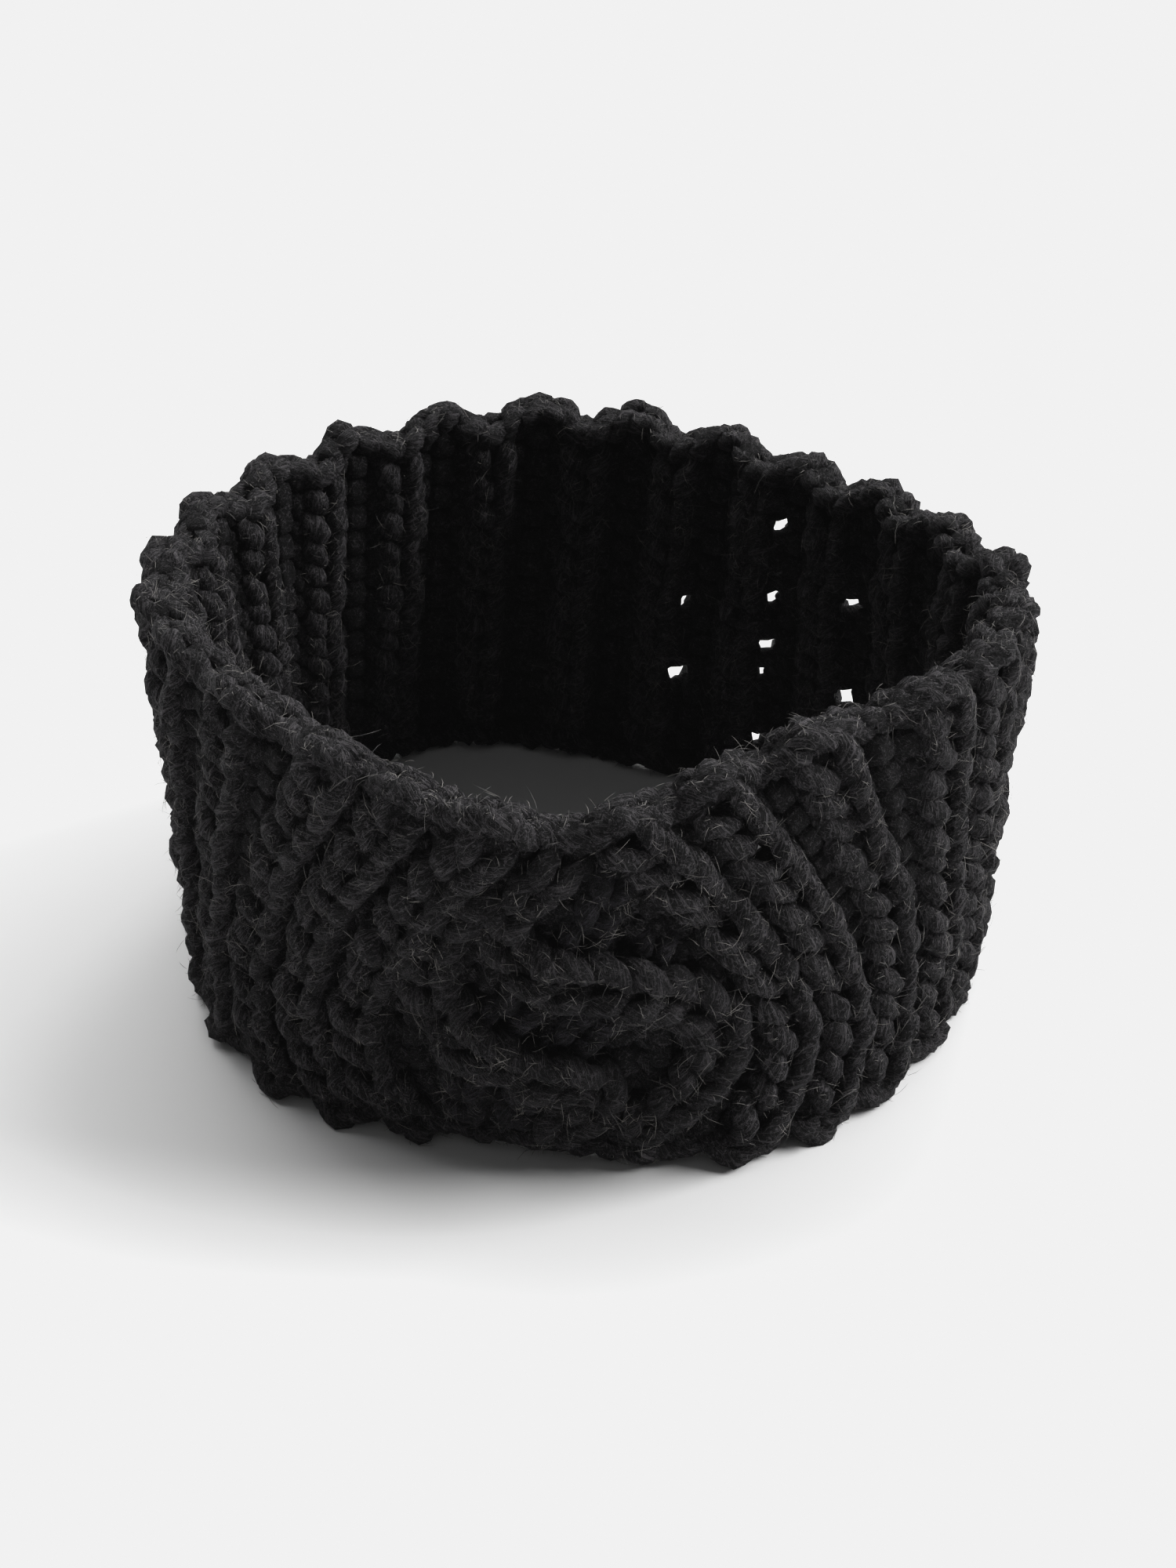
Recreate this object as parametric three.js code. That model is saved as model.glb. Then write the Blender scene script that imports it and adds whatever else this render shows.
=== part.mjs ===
// An ear warmer headband, knitted by hand in thick wool.
// The fabric is one closed band of upright ribs. At the front four ribs cross as a cable:
// two come over the front and two pass behind them, and the ribs beside the cable bow round it.
// Millimetres, +Z up, the band stands on its foot edge, and the cable faces -Y.

import * as THREE from "three";

// The plan of the band
const MEAN_RADIUS = 87; // from the middle of the band to the middle of its wall
const SIDE_SHIFT = -0.7; // moves the plan so that its box is centred on the origin, along X
const DEPTH_SHIFT = -3.0; // the same along Y

// The fabric
const BAND_HEIGHT = 99.5; // length of a rib from its foot to its rim, away from the cable
const FABRIC = 6; // thickness of the knit through one column of stitches
const RIB_RELIEF = 5; // depth from the crest of a rib to the bottom of the gutter beside it
const CREST_ROUNDNESS = 0.75; // below 1 the crests are broader than a plain wave
const RIM_SCALLOP = 3.5; // the gutters end this much lower than the crests along the rim
const FOOT_SCALLOP = 2.5; // the gutters stand this much off the ground along the foot
const FOOT_LAND = 3.2; // width of the flat underside of the foot edge

// The upright ribs beside and behind the cable, counted from the right of the cable round the back
const RIB_COUNT = 24;
const RIGHT_OF_CABLE = 44; // from the front centre to the first rib on the right, at the widest
const LEFT_OF_CABLE = 47.5; // the same on the left
const FRONT_PITCH = 13.6; // spacing of the ribs beside the cable; it opens towards the back
const OPENING_CURVE = 1.5; // how late the spacing opens out

// The dip of the rim over the cable
const CABLE_DIP = 10; // the fabric is this much shorter at the cable
const DIP_REACH = 37; // how far the dip spreads to each side

// The bow of the ribs round the cable
const RIM_DRAW = 40; // the first rib is drawn this far towards the cable at the rim
const FOOT_DRAW = 18; // and this far at the foot
const WIDEST_AT = 0.3; // share of the height where the ribs bow out most
const RIM_BOW_CURVE = 1.5;
const FOOT_BOW_CURVE = 1.8;

// The cable
const CABLE_HALF = 47; // half the width of the cable, which its paths are shares of
const OVER_WIDTH = 12.5; // width of a rib that crosses over
const OVER_HEIGHT = 5.6; // how far it stands above what it lies on
const UNDER_WIDTH = 9.5; // width of a rib that passes behind
const UNDER_HEIGHT = 2.8;
const MOST_FLANK = 0.4; // the slopes beside the cable take at most this share of its width each
const BOW_SLACK = 3; // a bowed rib is allowed for this much nearer than its crest line
const CLEARANCE = 0.45; // between a cable rib and what it lies on
const LIFT_REACH = 1.7; // a rib that crosses comes down at this share of the width of the one below
const EDGE_HEIGHT = 0.9; // thickness of a cable rib along its two sides
const BEND_LIMIT = 0.8; // a rib narrows on the inside of a bend to this share of the bend's radius
const END_SLOPE = 9; // length over which each end of a cable rib rises to its full height
const END_HEIGHT = 0.35; // share of the full height at the very end

// How finely the shapes are divided
const STEPS_PER_RIB = 8;
const FLANK_STEPS = 4;
const GROUND_STEPS = 14;
const RIM_STEPS = 4;
const CABLE_STEPS = 26;
const CABLE_SIDES = 5;
const PLAN_STEPS = 720;
const SPINE_POINTS = 120; // points along a path from which the ribs above it keep clear
const BEND_SAMPLE = 0.02; // share of a path's length over which its bend is measured, each way
const LEAST_TURN = 1e-4; // a smaller turn than this, in radians, counts as straight

// The plan at sixteen bearings, counter-clockwise from the right: shares of the mean radius.
const PLAN = [
  { foot: 1.05, rim: 1.11 },
  { foot: 1.05, rim: 1.01 },
  { foot: 0.95, rim: 0.93 },
  { foot: 0.87, rim: 0.98 },
  { foot: 0.95, rim: 1.06 },
  { foot: 1.08, rim: 1.07 },
  { foot: 1.09, rim: 1.07 },
  { foot: 1.0, rim: 1.1 },
  { foot: 0.98, rim: 1.08 },
  { foot: 1.02, rim: 0.99 },
  { foot: 1.0, rim: 0.94 },
  { foot: 0.93, rim: 0.95 },
  { foot: 0.95, rim: 0.92 },
  { foot: 1.02, rim: 0.85 },
  { foot: 1.03, rim: 0.89 },
  { foot: 1.03, rim: 1.04 },
];

// How far each rib beside the cable is drawn in: shares of RIM_DRAW and FOOT_DRAW.
const BOW = [
  { rim_right: 1.0, rim_left: 0.95, foot_right: 1.0, foot_left: 1.0 },
  { rim_right: 0.83, rim_left: 0.82, foot_right: 0.66, foot_left: 0.7 },
  { rim_right: 0.52, rim_left: 0.72, foot_right: 0.55, foot_left: 0.5 },
  { rim_right: 0.05, rim_left: 0.32, foot_right: 0.1, foot_left: 0.05 },
];

// Where the wall is measured up its height: shares of the height between its rounded edges.
const HEIGHTS = [0, 0.14, 0.3, 0.46, 0.62, 0.76, 0.89, 1];

// The paths of the cable ribs from the rim to the foot: across in shares of CABLE_HALF, to the
// right, up in shares of the height, and wide in shares of the rib's full width.
const OVER_UPPER_PATH = [
  { across: -0.03, up: 0.885, wide: 0.5 },
  { across: -0.12, up: 0.83, wide: 0.58 },
  { across: -0.25, up: 0.75, wide: 0.62 },
  { across: -0.31, up: 0.66, wide: 0.72 },
  { across: -0.16, up: 0.585, wide: 0.95 },
  { across: 0.1, up: 0.56, wide: 1.0 },
  { across: 0.36, up: 0.5, wide: 1.0 },
  { across: 0.55, up: 0.42, wide: 1.0 },
  { across: 0.61, up: 0.33, wide: 0.95 },
  { across: 0.49, up: 0.23, wide: 0.8 },
  { across: 0.33, up: 0.16, wide: 0.7 },
  { across: 0.18, up: 0.08, wide: 0.6 },
];
const OVER_LOWER_PATH = [
  { across: -0.38, up: 0.8, wide: 0.55 },
  { across: -0.5, up: 0.71, wide: 0.7 },
  { across: -0.61, up: 0.59, wide: 0.85 },
  { across: -0.65, up: 0.47, wide: 1.0 },
  { across: -0.49, up: 0.36, wide: 1.0 },
  { across: -0.24, up: 0.3, wide: 1.0 },
  { across: 0.0, up: 0.28, wide: 0.85 },
  { across: 0.11, up: 0.23, wide: 0.7 },
  { across: 0.05, up: 0.17, wide: 0.66 },
  { across: -0.08, up: 0.12, wide: 0.6 },
  { across: -0.17, up: 0.06, wide: 0.55 },
];
const UNDER_LEFT_PATH = [
  { across: 0.2, up: 0.84, wide: 0.7 },
  { across: 0.02, up: 0.66, wide: 1.0 },
  { across: -0.22, up: 0.48, wide: 1.0 },
  { across: -0.46, up: 0.32, wide: 1.0 },
  { across: -0.53, up: 0.18, wide: 0.9 },
  { across: -0.46, up: 0.06, wide: 0.7 },
];
const UNDER_RIGHT_PATH = [
  { across: 0.38, up: 0.66, wide: 0.65 },
  { across: 0.27, up: 0.56, wide: 1.0 },
  { across: 0.05, up: 0.41, wide: 1.0 },
  { across: -0.14, up: 0.29, wide: 1.0 },
  { across: -0.25, up: 0.17, wide: 0.8 },
  { across: -0.3, up: 0.06, wide: 0.6 },
];

const FULL_TURN = 2 * Math.PI;
const FRONT_BEARING = 0.75 * FULL_TURN;

// The value of one column of the plan at an angle, on a smooth closed curve through its rows.
function planShare(column, angle) {
  const rows = PLAN.length;
  const place = (((angle / FULL_TURN) * rows) % rows + rows) % rows;
  const row = Math.floor(place);
  const f = place - row;
  const [a, b, c, d] = [-1, 0, 1, 2].map((step) => PLAN[(row + step + rows) % rows][column]);
  const bend = 2 * a - 5 * b + 4 * c - d;
  const twist = -a + 3 * b - 3 * c + d;
  return 0.5 * (2 * b + (c - a) * f + bend * f * f + twist * f * f * f);
}

// The distance from the middle of the plan to the middle of the wall.
function wallRadius(angle, up) {
  const foot = planShare("foot", angle);
  const rim = planShare("rim", angle);
  return MEAN_RADIUS * THREE.MathUtils.lerp(foot, rim, up);
}

// Lengths along the wall at half height, from the front centre, for evenly spaced angles.
function measureRound() {
  const lengths = [0];
  let before = null;
  for (let step = 0; step <= PLAN_STEPS; step += 1) {
    const angle = FRONT_BEARING + (step / PLAN_STEPS) * FULL_TURN;
    const radius = wallRadius(angle, 0.5);
    const here = new THREE.Vector2(radius * Math.cos(angle), radius * Math.sin(angle));
    if (before) lengths.push(lengths[step - 1] + here.distanceTo(before));
    before = here;
  }
  return lengths;
}

const ROUND = measureRound();
const GIRTH = ROUND[PLAN_STEPS];

// The bearing of a point that lies this far along the wall from the front centre.
function bearingAt(along) {
  const target = ((along % GIRTH) + GIRTH) % GIRTH;
  let low = 0;
  let high = PLAN_STEPS;
  while (high - low > 1) {
    const middle = (low + high) >> 1;
    if (ROUND[middle] <= target) low = middle;
    else high = middle;
  }
  const f = (target - ROUND[low]) / (ROUND[high] - ROUND[low]);
  return FRONT_BEARING + ((low + f) / PLAN_STEPS) * FULL_TURN;
}

// The height of the rim above the ground: the length of the fabric less its dip and its lean.
function rimHeight(along) {
  const wrapped = along - GIRTH * Math.round(along / GIRTH);
  const length = BAND_HEIGHT - CABLE_DIP * Math.exp(-((wrapped / DIP_REACH) ** 2));
  const bearing = bearingAt(along);
  const lean = wallRadius(bearing, 1) - wallRadius(bearing, 0);
  return Math.sqrt(length * length - lean * lean);
}

// A point of the band: along the wall, at a height, and proud of the wall's middle.
function pointAt(along, height, proud) {
  const bearing = bearingAt(along);
  const up = THREE.MathUtils.clamp(height / rimHeight(along), 0, 1);
  const radius = wallRadius(bearing, up) + proud;
  const x = SIDE_SHIFT + radius * Math.cos(bearing);
  const y = DEPTH_SHIFT + radius * Math.sin(bearing);
  return new THREE.Vector3(x, y, height);
}

// The place of each upright rib at its widest, with gaps that open out towards the back.
function ribPlaces() {
  const gaps = RIB_COUNT - 1;
  const shares = [];
  for (let gap = 0; gap < gaps; gap += 1) {
    shares.push(Math.sin((Math.PI * (gap + 0.5)) / gaps) ** OPENING_CURVE);
  }
  const sum = shares.reduce((total, share) => total + share, 0);
  const spare = GIRTH - RIGHT_OF_CABLE - LEFT_OF_CABLE - gaps * FRONT_PITCH;
  const places = [RIGHT_OF_CABLE];
  shares.forEach((share, gap) => places.push(places[gap] + FRONT_PITCH + (spare * share) / sum));
  return places;
}

const PLACES = ribPlaces();

// How far a rib is drawn towards the cable at a share of the height.
function drawnIn(rimShare, footShare, up) {
  const above = Math.max(0, (up - WIDEST_AT) / (1 - WIDEST_AT)) ** RIM_BOW_CURVE;
  const below = Math.max(0, (WIDEST_AT - up) / WIDEST_AT) ** FOOT_BOW_CURVE;
  return RIM_DRAW * rimShare * above + FOOT_DRAW * footShare * below;
}

// Where a rib's crest runs at a share of the height.
function crestAt(rib, up) {
  const onRight = BOW[rib];
  const onLeft = BOW[RIB_COUNT - 1 - rib];
  if (onRight) return PLACES[rib] - drawnIn(onRight.rim_right, onRight.foot_right, up);
  if (onLeft) return PLACES[rib] + drawnIn(onLeft.rim_left, onLeft.foot_left, up);
  return PLACES[rib];
}

// The distance between the crests on either side of the cable, at a share of the height.
function cableWidth(up) {
  return crestAt(0, up) + GIRTH - crestAt(RIB_COUNT - 1, up);
}

// The width of the slope from either of those crests down to the ground behind the cable.
function flankWidth(up) {
  return Math.min(FRONT_PITCH / 2, MOST_FLANK * cableWidth(up));
}

// The upright lines that the wall is divided by: each has a phase, 0 on a crest and half a turn
// in a gutter, and knows how far along the wall it runs at a share of the height.
function wallLines() {
  const lines = [];
  for (let rib = 0; rib < RIB_COUNT - 1; rib += 1) {
    for (let step = 0; step < STEPS_PER_RIB; step += 1) {
      const f = step / STEPS_PER_RIB;
      const along = (up) => THREE.MathUtils.lerp(crestAt(rib, up), crestAt(rib + 1, up), f);
      lines.push({ phase: f * FULL_TURN, along });
    }
  }
  const start = (up) => crestAt(RIB_COUNT - 1, up);
  for (let step = 0; step <= FLANK_STEPS; step += 1) {
    const f = step / FLANK_STEPS;
    lines.push({ phase: f * Math.PI, along: (up) => start(up) + f * flankWidth(up) });
  }
  for (let step = 1; step < GROUND_STEPS; step += 1) {
    const f = step / GROUND_STEPS;
    const along = (up) => start(up) + flankWidth(up) + f * (cableWidth(up) - 2 * flankWidth(up));
    lines.push({ phase: Math.PI, along });
  }
  for (let step = FLANK_STEPS; step > 0; step -= 1) {
    const f = step / FLANK_STEPS;
    lines.push({ phase: f * Math.PI, along: (up) => start(up) + cableWidth(up) - f * flankWidth(up) });
  }
  return lines;
}

// How far the middle of the fabric stands proud of the wall's middle at a phase.
function reliefAt(phase) {
  const wave = Math.cos(phase);
  return (RIB_RELIEF / 2) * Math.sign(wave) * Math.abs(wave) ** CREST_ROUNDNESS;
}

// One upright line of the wall as a closed section: up the outside, over the rounded rim,
// down the inside and across the flat foot.
function wallSection(line) {
  const half = FABRIC / 2;
  const relief = reliefAt(line.phase);
  const wave = Math.cos(line.phase);
  const rimDrop = (RIM_SCALLOP * (1 - wave)) / 2;
  const footLift = FOOT_SCALLOP * Math.max(0, -wave);
  const top = rimHeight(line.along(1)) - rimDrop - half;
  const low = footLift + half;
  const section = [];
  const add = (height, proud) => {
    const up = THREE.MathUtils.clamp(height / (top + half), 0, 1);
    section.push(pointAt(line.along(up), height, relief + proud));
  };
  HEIGHTS.forEach((share) => add(THREE.MathUtils.lerp(low, top, share), half));
  for (let step = 1; step < RIM_STEPS; step += 1) {
    const angle = (Math.PI * step) / RIM_STEPS;
    add(top + half * Math.sin(angle), half * Math.cos(angle));
  }
  HEIGHTS.toReversed().forEach((share) => add(THREE.MathUtils.lerp(low, top, share), -half));
  add(footLift, -FOOT_LAND / 2);
  add(footLift, FOOT_LAND / 2);
  return section;
}

// A closed body from closed sections of equal length, joined side by side.
// Sections that end are closed with a fan, and a ring joins its last section to its first.
function bodyFromSections(sections, isRing) {
  const count = sections[0].length;
  const positions = [];
  const triangle = (a, b, c) => [a, b, c].forEach((p) => positions.push(p.x, p.y, p.z));
  const joins = isRing ? sections.length : sections.length - 1;
  for (let index = 0; index < joins; index += 1) {
    const here = sections[index];
    const next = sections[(index + 1) % sections.length];
    for (let corner = 0; corner < count; corner += 1) {
      const after = (corner + 1) % count;
      triangle(here[corner], next[corner], next[after]);
      triangle(here[corner], next[after], here[after]);
    }
  }
  if (!isRing) {
    closeEnd(sections[0], false, triangle);
    closeEnd(sections[sections.length - 1], true, triangle);
  }
  const geometry = new THREE.BufferGeometry();
  geometry.setAttribute("position", new THREE.Float32BufferAttribute(positions, 3));
  geometry.computeVertexNormals();
  return geometry;
}

// A fan of triangles from the middle of an end section.
function closeEnd(section, isLast, triangle) {
  const middle = new THREE.Vector3();
  section.forEach((point) => middle.addScaledVector(point, 1 / section.length));
  section.forEach((point, corner) => {
    const after = section[(corner + 1) % section.length];
    if (isLast) triangle(middle, after, point);
    else triangle(middle, point, after);
  });
}

// A cable rib's path as a smooth flat curve: along the wall in x, the height in y,
// and in z the share of the rib's full width.
function flatPath(rows) {
  const points = rows.map(({ across, up, wide }) => {
    const along = across * CABLE_HALF;
    return new THREE.Vector3(along, up * rimHeight(along), wide);
  });
  return new THREE.CatmullRomCurve3(points, false, "centripetal");
}

// The outside of the fabric behind the cable, and beside it where the next ribs rise.
function groundProud(along, height) {
  const up = THREE.MathUtils.clamp(height / rimHeight(along), 0, 1);
  const fromRight = crestAt(0, up) - along;
  const fromLeft = along - (crestAt(RIB_COUNT - 1, up) - GIRTH);
  const near = (Math.min(fromRight, fromLeft) - BOW_SLACK) / flankWidth(up);
  return reliefAt(Math.PI * THREE.MathUtils.clamp(near, 0, 1)) + FABRIC / 2;
}

// How proud a rib's back lies at a place: clear of the ground and of each rib that is below it.
function restProud(along, height, below) {
  const spines = below.flatMap((rib) => rib.spine);
  const gap = Math.min(...spines.map((p) => Math.hypot(p.x - along, p.y - height)));
  const clear = (LIFT_REACH * UNDER_WIDTH) / 2;
  const cover = 1 - THREE.MathUtils.smoothstep(gap, UNDER_WIDTH / 2, clear);
  return groundProud(along, height) + CLEARANCE + cover * (UNDER_HEIGHT + CLEARANCE);
}

// A cable rib that lies on the wall along its path, crowned across, with tapered ends.
function drapedRib(rows, width, height, below) {
  const curve = flatPath(rows);
  const spine = curve.getSpacedPoints(CABLE_STEPS);
  const sections = [];
  for (let step = 0; step <= CABLE_STEPS; step += 1) {
    const share = step / CABLE_STEPS;
    const toEnd = Math.min(1, (Math.min(share, 1 - share) * curve.getLength()) / END_SLOPE);
    const full = THREE.MathUtils.lerp(END_HEIGHT, 1, Math.sin((Math.PI / 2) * toEnd));
    const tangent = curve.getTangentAt(share);
    const side = new THREE.Vector3(tangent.y, -tangent.x, 0);
    const bend = bendRadius(curve, share);
    const place = spine[step];
    const edge = (sign) => {
      const inner = Math.sign(bend) === sign ? BEND_LIMIT * Math.abs(bend) : Infinity;
      return Math.min((place.z * width) / 2, inner);
    };
    const back = [];
    const crown = [];
    for (let corner = 0; corner <= CABLE_SIDES; corner += 1) {
      const across = -Math.cos((Math.PI * corner) / CABLE_SIDES);
      const reach = across * edge(Math.sign(across) || 1);
      const along = place.x + side.x * reach;
      const up = place.y + side.y * reach;
      const rest = restProud(along, up, below);
      const rise = EDGE_HEIGHT + full * (height - EDGE_HEIGHT) * Math.sqrt(1 - across * across);
      back.push(pointAt(along, up, rest));
      crown.push(pointAt(along, up, rest + rise));
    }
    sections.push([...back, ...crown.toReversed()]);
  }
  return { geometry: bodyFromSections(sections, false), spine: curve.getSpacedPoints(SPINE_POINTS) };
}

// The radius of the path's bend at a share of its length, positive where it bends to the side.
function bendRadius(curve, share) {
  const from = Math.max(0, share - BEND_SAMPLE);
  const to = Math.min(1, share + BEND_SAMPLE);
  const before = curve.getTangentAt(from);
  const after = curve.getTangentAt(to);
  const turn = Math.asin(THREE.MathUtils.clamp(before.x * after.y - before.y * after.x, -1, 1));
  const length = (to - from) * curve.getLength();
  return Math.abs(turn) < LEAST_TURN ? Infinity : -length / turn;
}

// Wool that is nearly black, with no gloss; the ribs behind sit in shade and are a little darker.
function woolMaterial(shade) {
  return new THREE.MeshStandardMaterial({ color: shade, roughness: 0.95, metalness: 0 });
}

function namedMesh(name, geometry, shade) {
  const mesh = new THREE.Mesh(geometry, woolMaterial(shade));
  mesh.name = name;
  return mesh;
}

const band = bodyFromSections(wallLines().map(wallSection), true);
const underLeft = drapedRib(UNDER_LEFT_PATH, UNDER_WIDTH, UNDER_HEIGHT, []);
const underRight = drapedRib(UNDER_RIGHT_PATH, UNDER_WIDTH, UNDER_HEIGHT, []);
const behind = [underLeft, underRight];
const overUpper = drapedRib(OVER_UPPER_PATH, OVER_WIDTH, OVER_HEIGHT, behind);
const overLower = drapedRib(OVER_LOWER_PATH, OVER_WIDTH, OVER_HEIGHT, behind);

const headband = new THREE.Group();
headband.add(namedMesh("ribbed_band", band, 0x242425));
headband.add(namedMesh("cable_rib_under_left", underLeft.geometry, 0x1f1f20));
headband.add(namedMesh("cable_rib_under_right", underRight.geometry, 0x1f1f20));
headband.add(namedMesh("cable_rib_over_upper", overUpper.geometry, 0x2b2b2c));
headband.add(namedMesh("cable_rib_over_lower", overLower.geometry, 0x2b2b2c));

export default headband;
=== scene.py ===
"""An ear warmer headband, knitted by hand in thick, nearly black wool.

The fabric is one closed band of upright ribs with a cable at the front. Every stitch is a loop of
yarn here: a course is one closed length of yarn that runs round the band, knitted on the ribs and
purled between them, and each rib of the cable is a chain of stitches that lies over the fabric.
Lengths are millimetres until a mesh is made, which is in metres.
"""

import logging
from dataclasses import dataclass, field
from enum import Enum

import bpy
import numpy as np
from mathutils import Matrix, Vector


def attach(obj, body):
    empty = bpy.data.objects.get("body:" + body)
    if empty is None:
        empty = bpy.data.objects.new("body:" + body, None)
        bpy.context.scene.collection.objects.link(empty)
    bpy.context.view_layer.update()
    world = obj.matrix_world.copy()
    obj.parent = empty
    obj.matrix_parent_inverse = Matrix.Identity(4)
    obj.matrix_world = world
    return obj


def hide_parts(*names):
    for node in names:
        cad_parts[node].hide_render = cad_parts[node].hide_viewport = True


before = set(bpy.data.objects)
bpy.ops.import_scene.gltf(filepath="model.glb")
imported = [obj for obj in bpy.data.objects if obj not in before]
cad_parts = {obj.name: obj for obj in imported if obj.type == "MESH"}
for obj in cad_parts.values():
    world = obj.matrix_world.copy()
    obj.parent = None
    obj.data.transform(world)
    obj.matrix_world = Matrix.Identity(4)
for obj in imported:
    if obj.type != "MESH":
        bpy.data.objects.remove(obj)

LOG = logging.getLogger("headband")
MM = 0.001
FULL_TURN = 2.0 * np.pi
CURVE_STEPS = 24  # rows from key to key where a curve is measured
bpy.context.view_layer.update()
BODY = "root"
EDGE_SEED = 31


class Face(Enum):
    """Which side of the fabric a column of stitches stands out on."""

    KNIT = 1
    PURL = -1


class Edge(Enum):
    """The two edges of the band, with the way each faces."""

    RIM = 1
    FOOT = -1


def linear(code: str) -> tuple[float, float, float, float]:
    """Turn an sRGB hex colour into the linear colour that shaders work with.

    Args:
        code: six hex digits, such as "262627".

    Returns:
        Red, green, blue and an alpha of 1.
    """
    shares = np.array([int(code[place:place + 2], 16) for place in (0, 2, 4)]) / 255.0
    red, green, blue = np.where(shares <= 0.04045, shares / 12.92, ((shares + 0.055) / 1.055) ** 2.4)
    return float(red), float(green), float(blue), 1.0


def unit(vectors: np.ndarray) -> np.ndarray:
    """Each vector of the last axis divided by its length."""
    return vectors / np.linalg.norm(vectors, axis=-1, keepdims=True)


def smoothstep(value: np.ndarray, low: float, high: float) -> np.ndarray:
    """0 below low, 1 above high, and 3f^2 - 2f^3 between them."""
    f = np.clip((value - low) / (high - low), 0.0, 1.0)
    return f * f * (3.0 - 2.0 * f)


def lengths_along(x: np.ndarray, y: np.ndarray) -> np.ndarray:
    """The length of each line of the last axis, in the plane, up to each of its places."""
    steps = np.hypot(np.diff(x), np.diff(y))
    return np.concatenate([np.zeros((*steps.shape[:-1], 1)), np.cumsum(steps, axis=-1)], axis=-1)


def read_rows(at: np.ndarray, spots: np.ndarray, rows: np.ndarray) -> np.ndarray:
    """Read every column of rows at places between the spots that the rows lie at."""
    return np.stack([np.interp(at, spots, column) for column in rows.T], axis=1)


def between_keys(keys: list[np.ndarray], f: np.ndarray) -> np.ndarray:
    """Run the Catmull-Rom cubic from the second of four keys to the third.

    It is half of 2b + (c - a)f + (2a - 5b + 4c - d)f^2 + (3b - a - 3c + d)f^3.

    Args:
        keys: the keys a, b, c and d.
        f: how far from b to c, from 0 to 1.

    Returns:
        The places on the curve.
    """
    a, b, c, d = keys
    return 0.5 * (
        2 * b + (c - a) * f + (2 * a - 5 * b + 4 * c - d) * f**2 + (3 * b - a - 3 * c + d) * f**3)


def smooth_curve(keys: np.ndarray, steps: int, closed: bool) -> np.ndarray:
    """Run a smooth curve through rows of keys, with all their columns.

    Args:
        keys: rows to pass through.
        steps: rows of the curve from one key to the next.
        closed: whether the last key joins the first.

    Returns:
        The rows of the curve.
    """
    if closed:
        four = [np.roll(keys, shift, axis=0) for shift in (1, 0, -1, -2)]
    else:
        rows = np.vstack([2 * keys[:1] - keys[1:2], keys, 2 * keys[-1:] - keys[-2:-1]])
        four = [rows[:-3], rows[1:-2], rows[2:-1], rows[3:]]
    f = (np.arange(steps) / steps)[None, :, None]
    curve = between_keys([side[:, None, :] for side in four], f).reshape(-1, keys.shape[1])
    return curve if closed else np.vstack([curve, keys[-1:]])


def even_curve(keys: np.ndarray, count: int) -> np.ndarray:
    """Run an open smooth curve through keys, divided evenly by its length.

    Args:
        keys: rows to pass through, of which the first two columns give the length.
        count: rows of the result.

    Returns:
        The rows of the curve.
    """
    curve = smooth_curve(keys, CURVE_STEPS, closed=False)
    length = lengths_along(curve[:, 0], curve[:, 1])
    return read_rows(np.linspace(0.0, length[-1], count), length, curve)


def drift(rng: np.random.Generator, count: int, every: int) -> np.ndarray:
    """Make slow noise of about unit size round a closed row of places.

    Args:
        rng: for the noise.
        count: how many places.
        every: about how many places lie between two random values.

    Returns:
        A value for each place.
    """
    knots = max(4, count // every)
    wave = smooth_curve(rng.normal(0.0, 1.0, (knots, 1)), every + 1, closed=True)[:, 0]
    return np.interp(np.linspace(0, len(wave) - 1, count), np.arange(len(wave)), wave)


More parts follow.
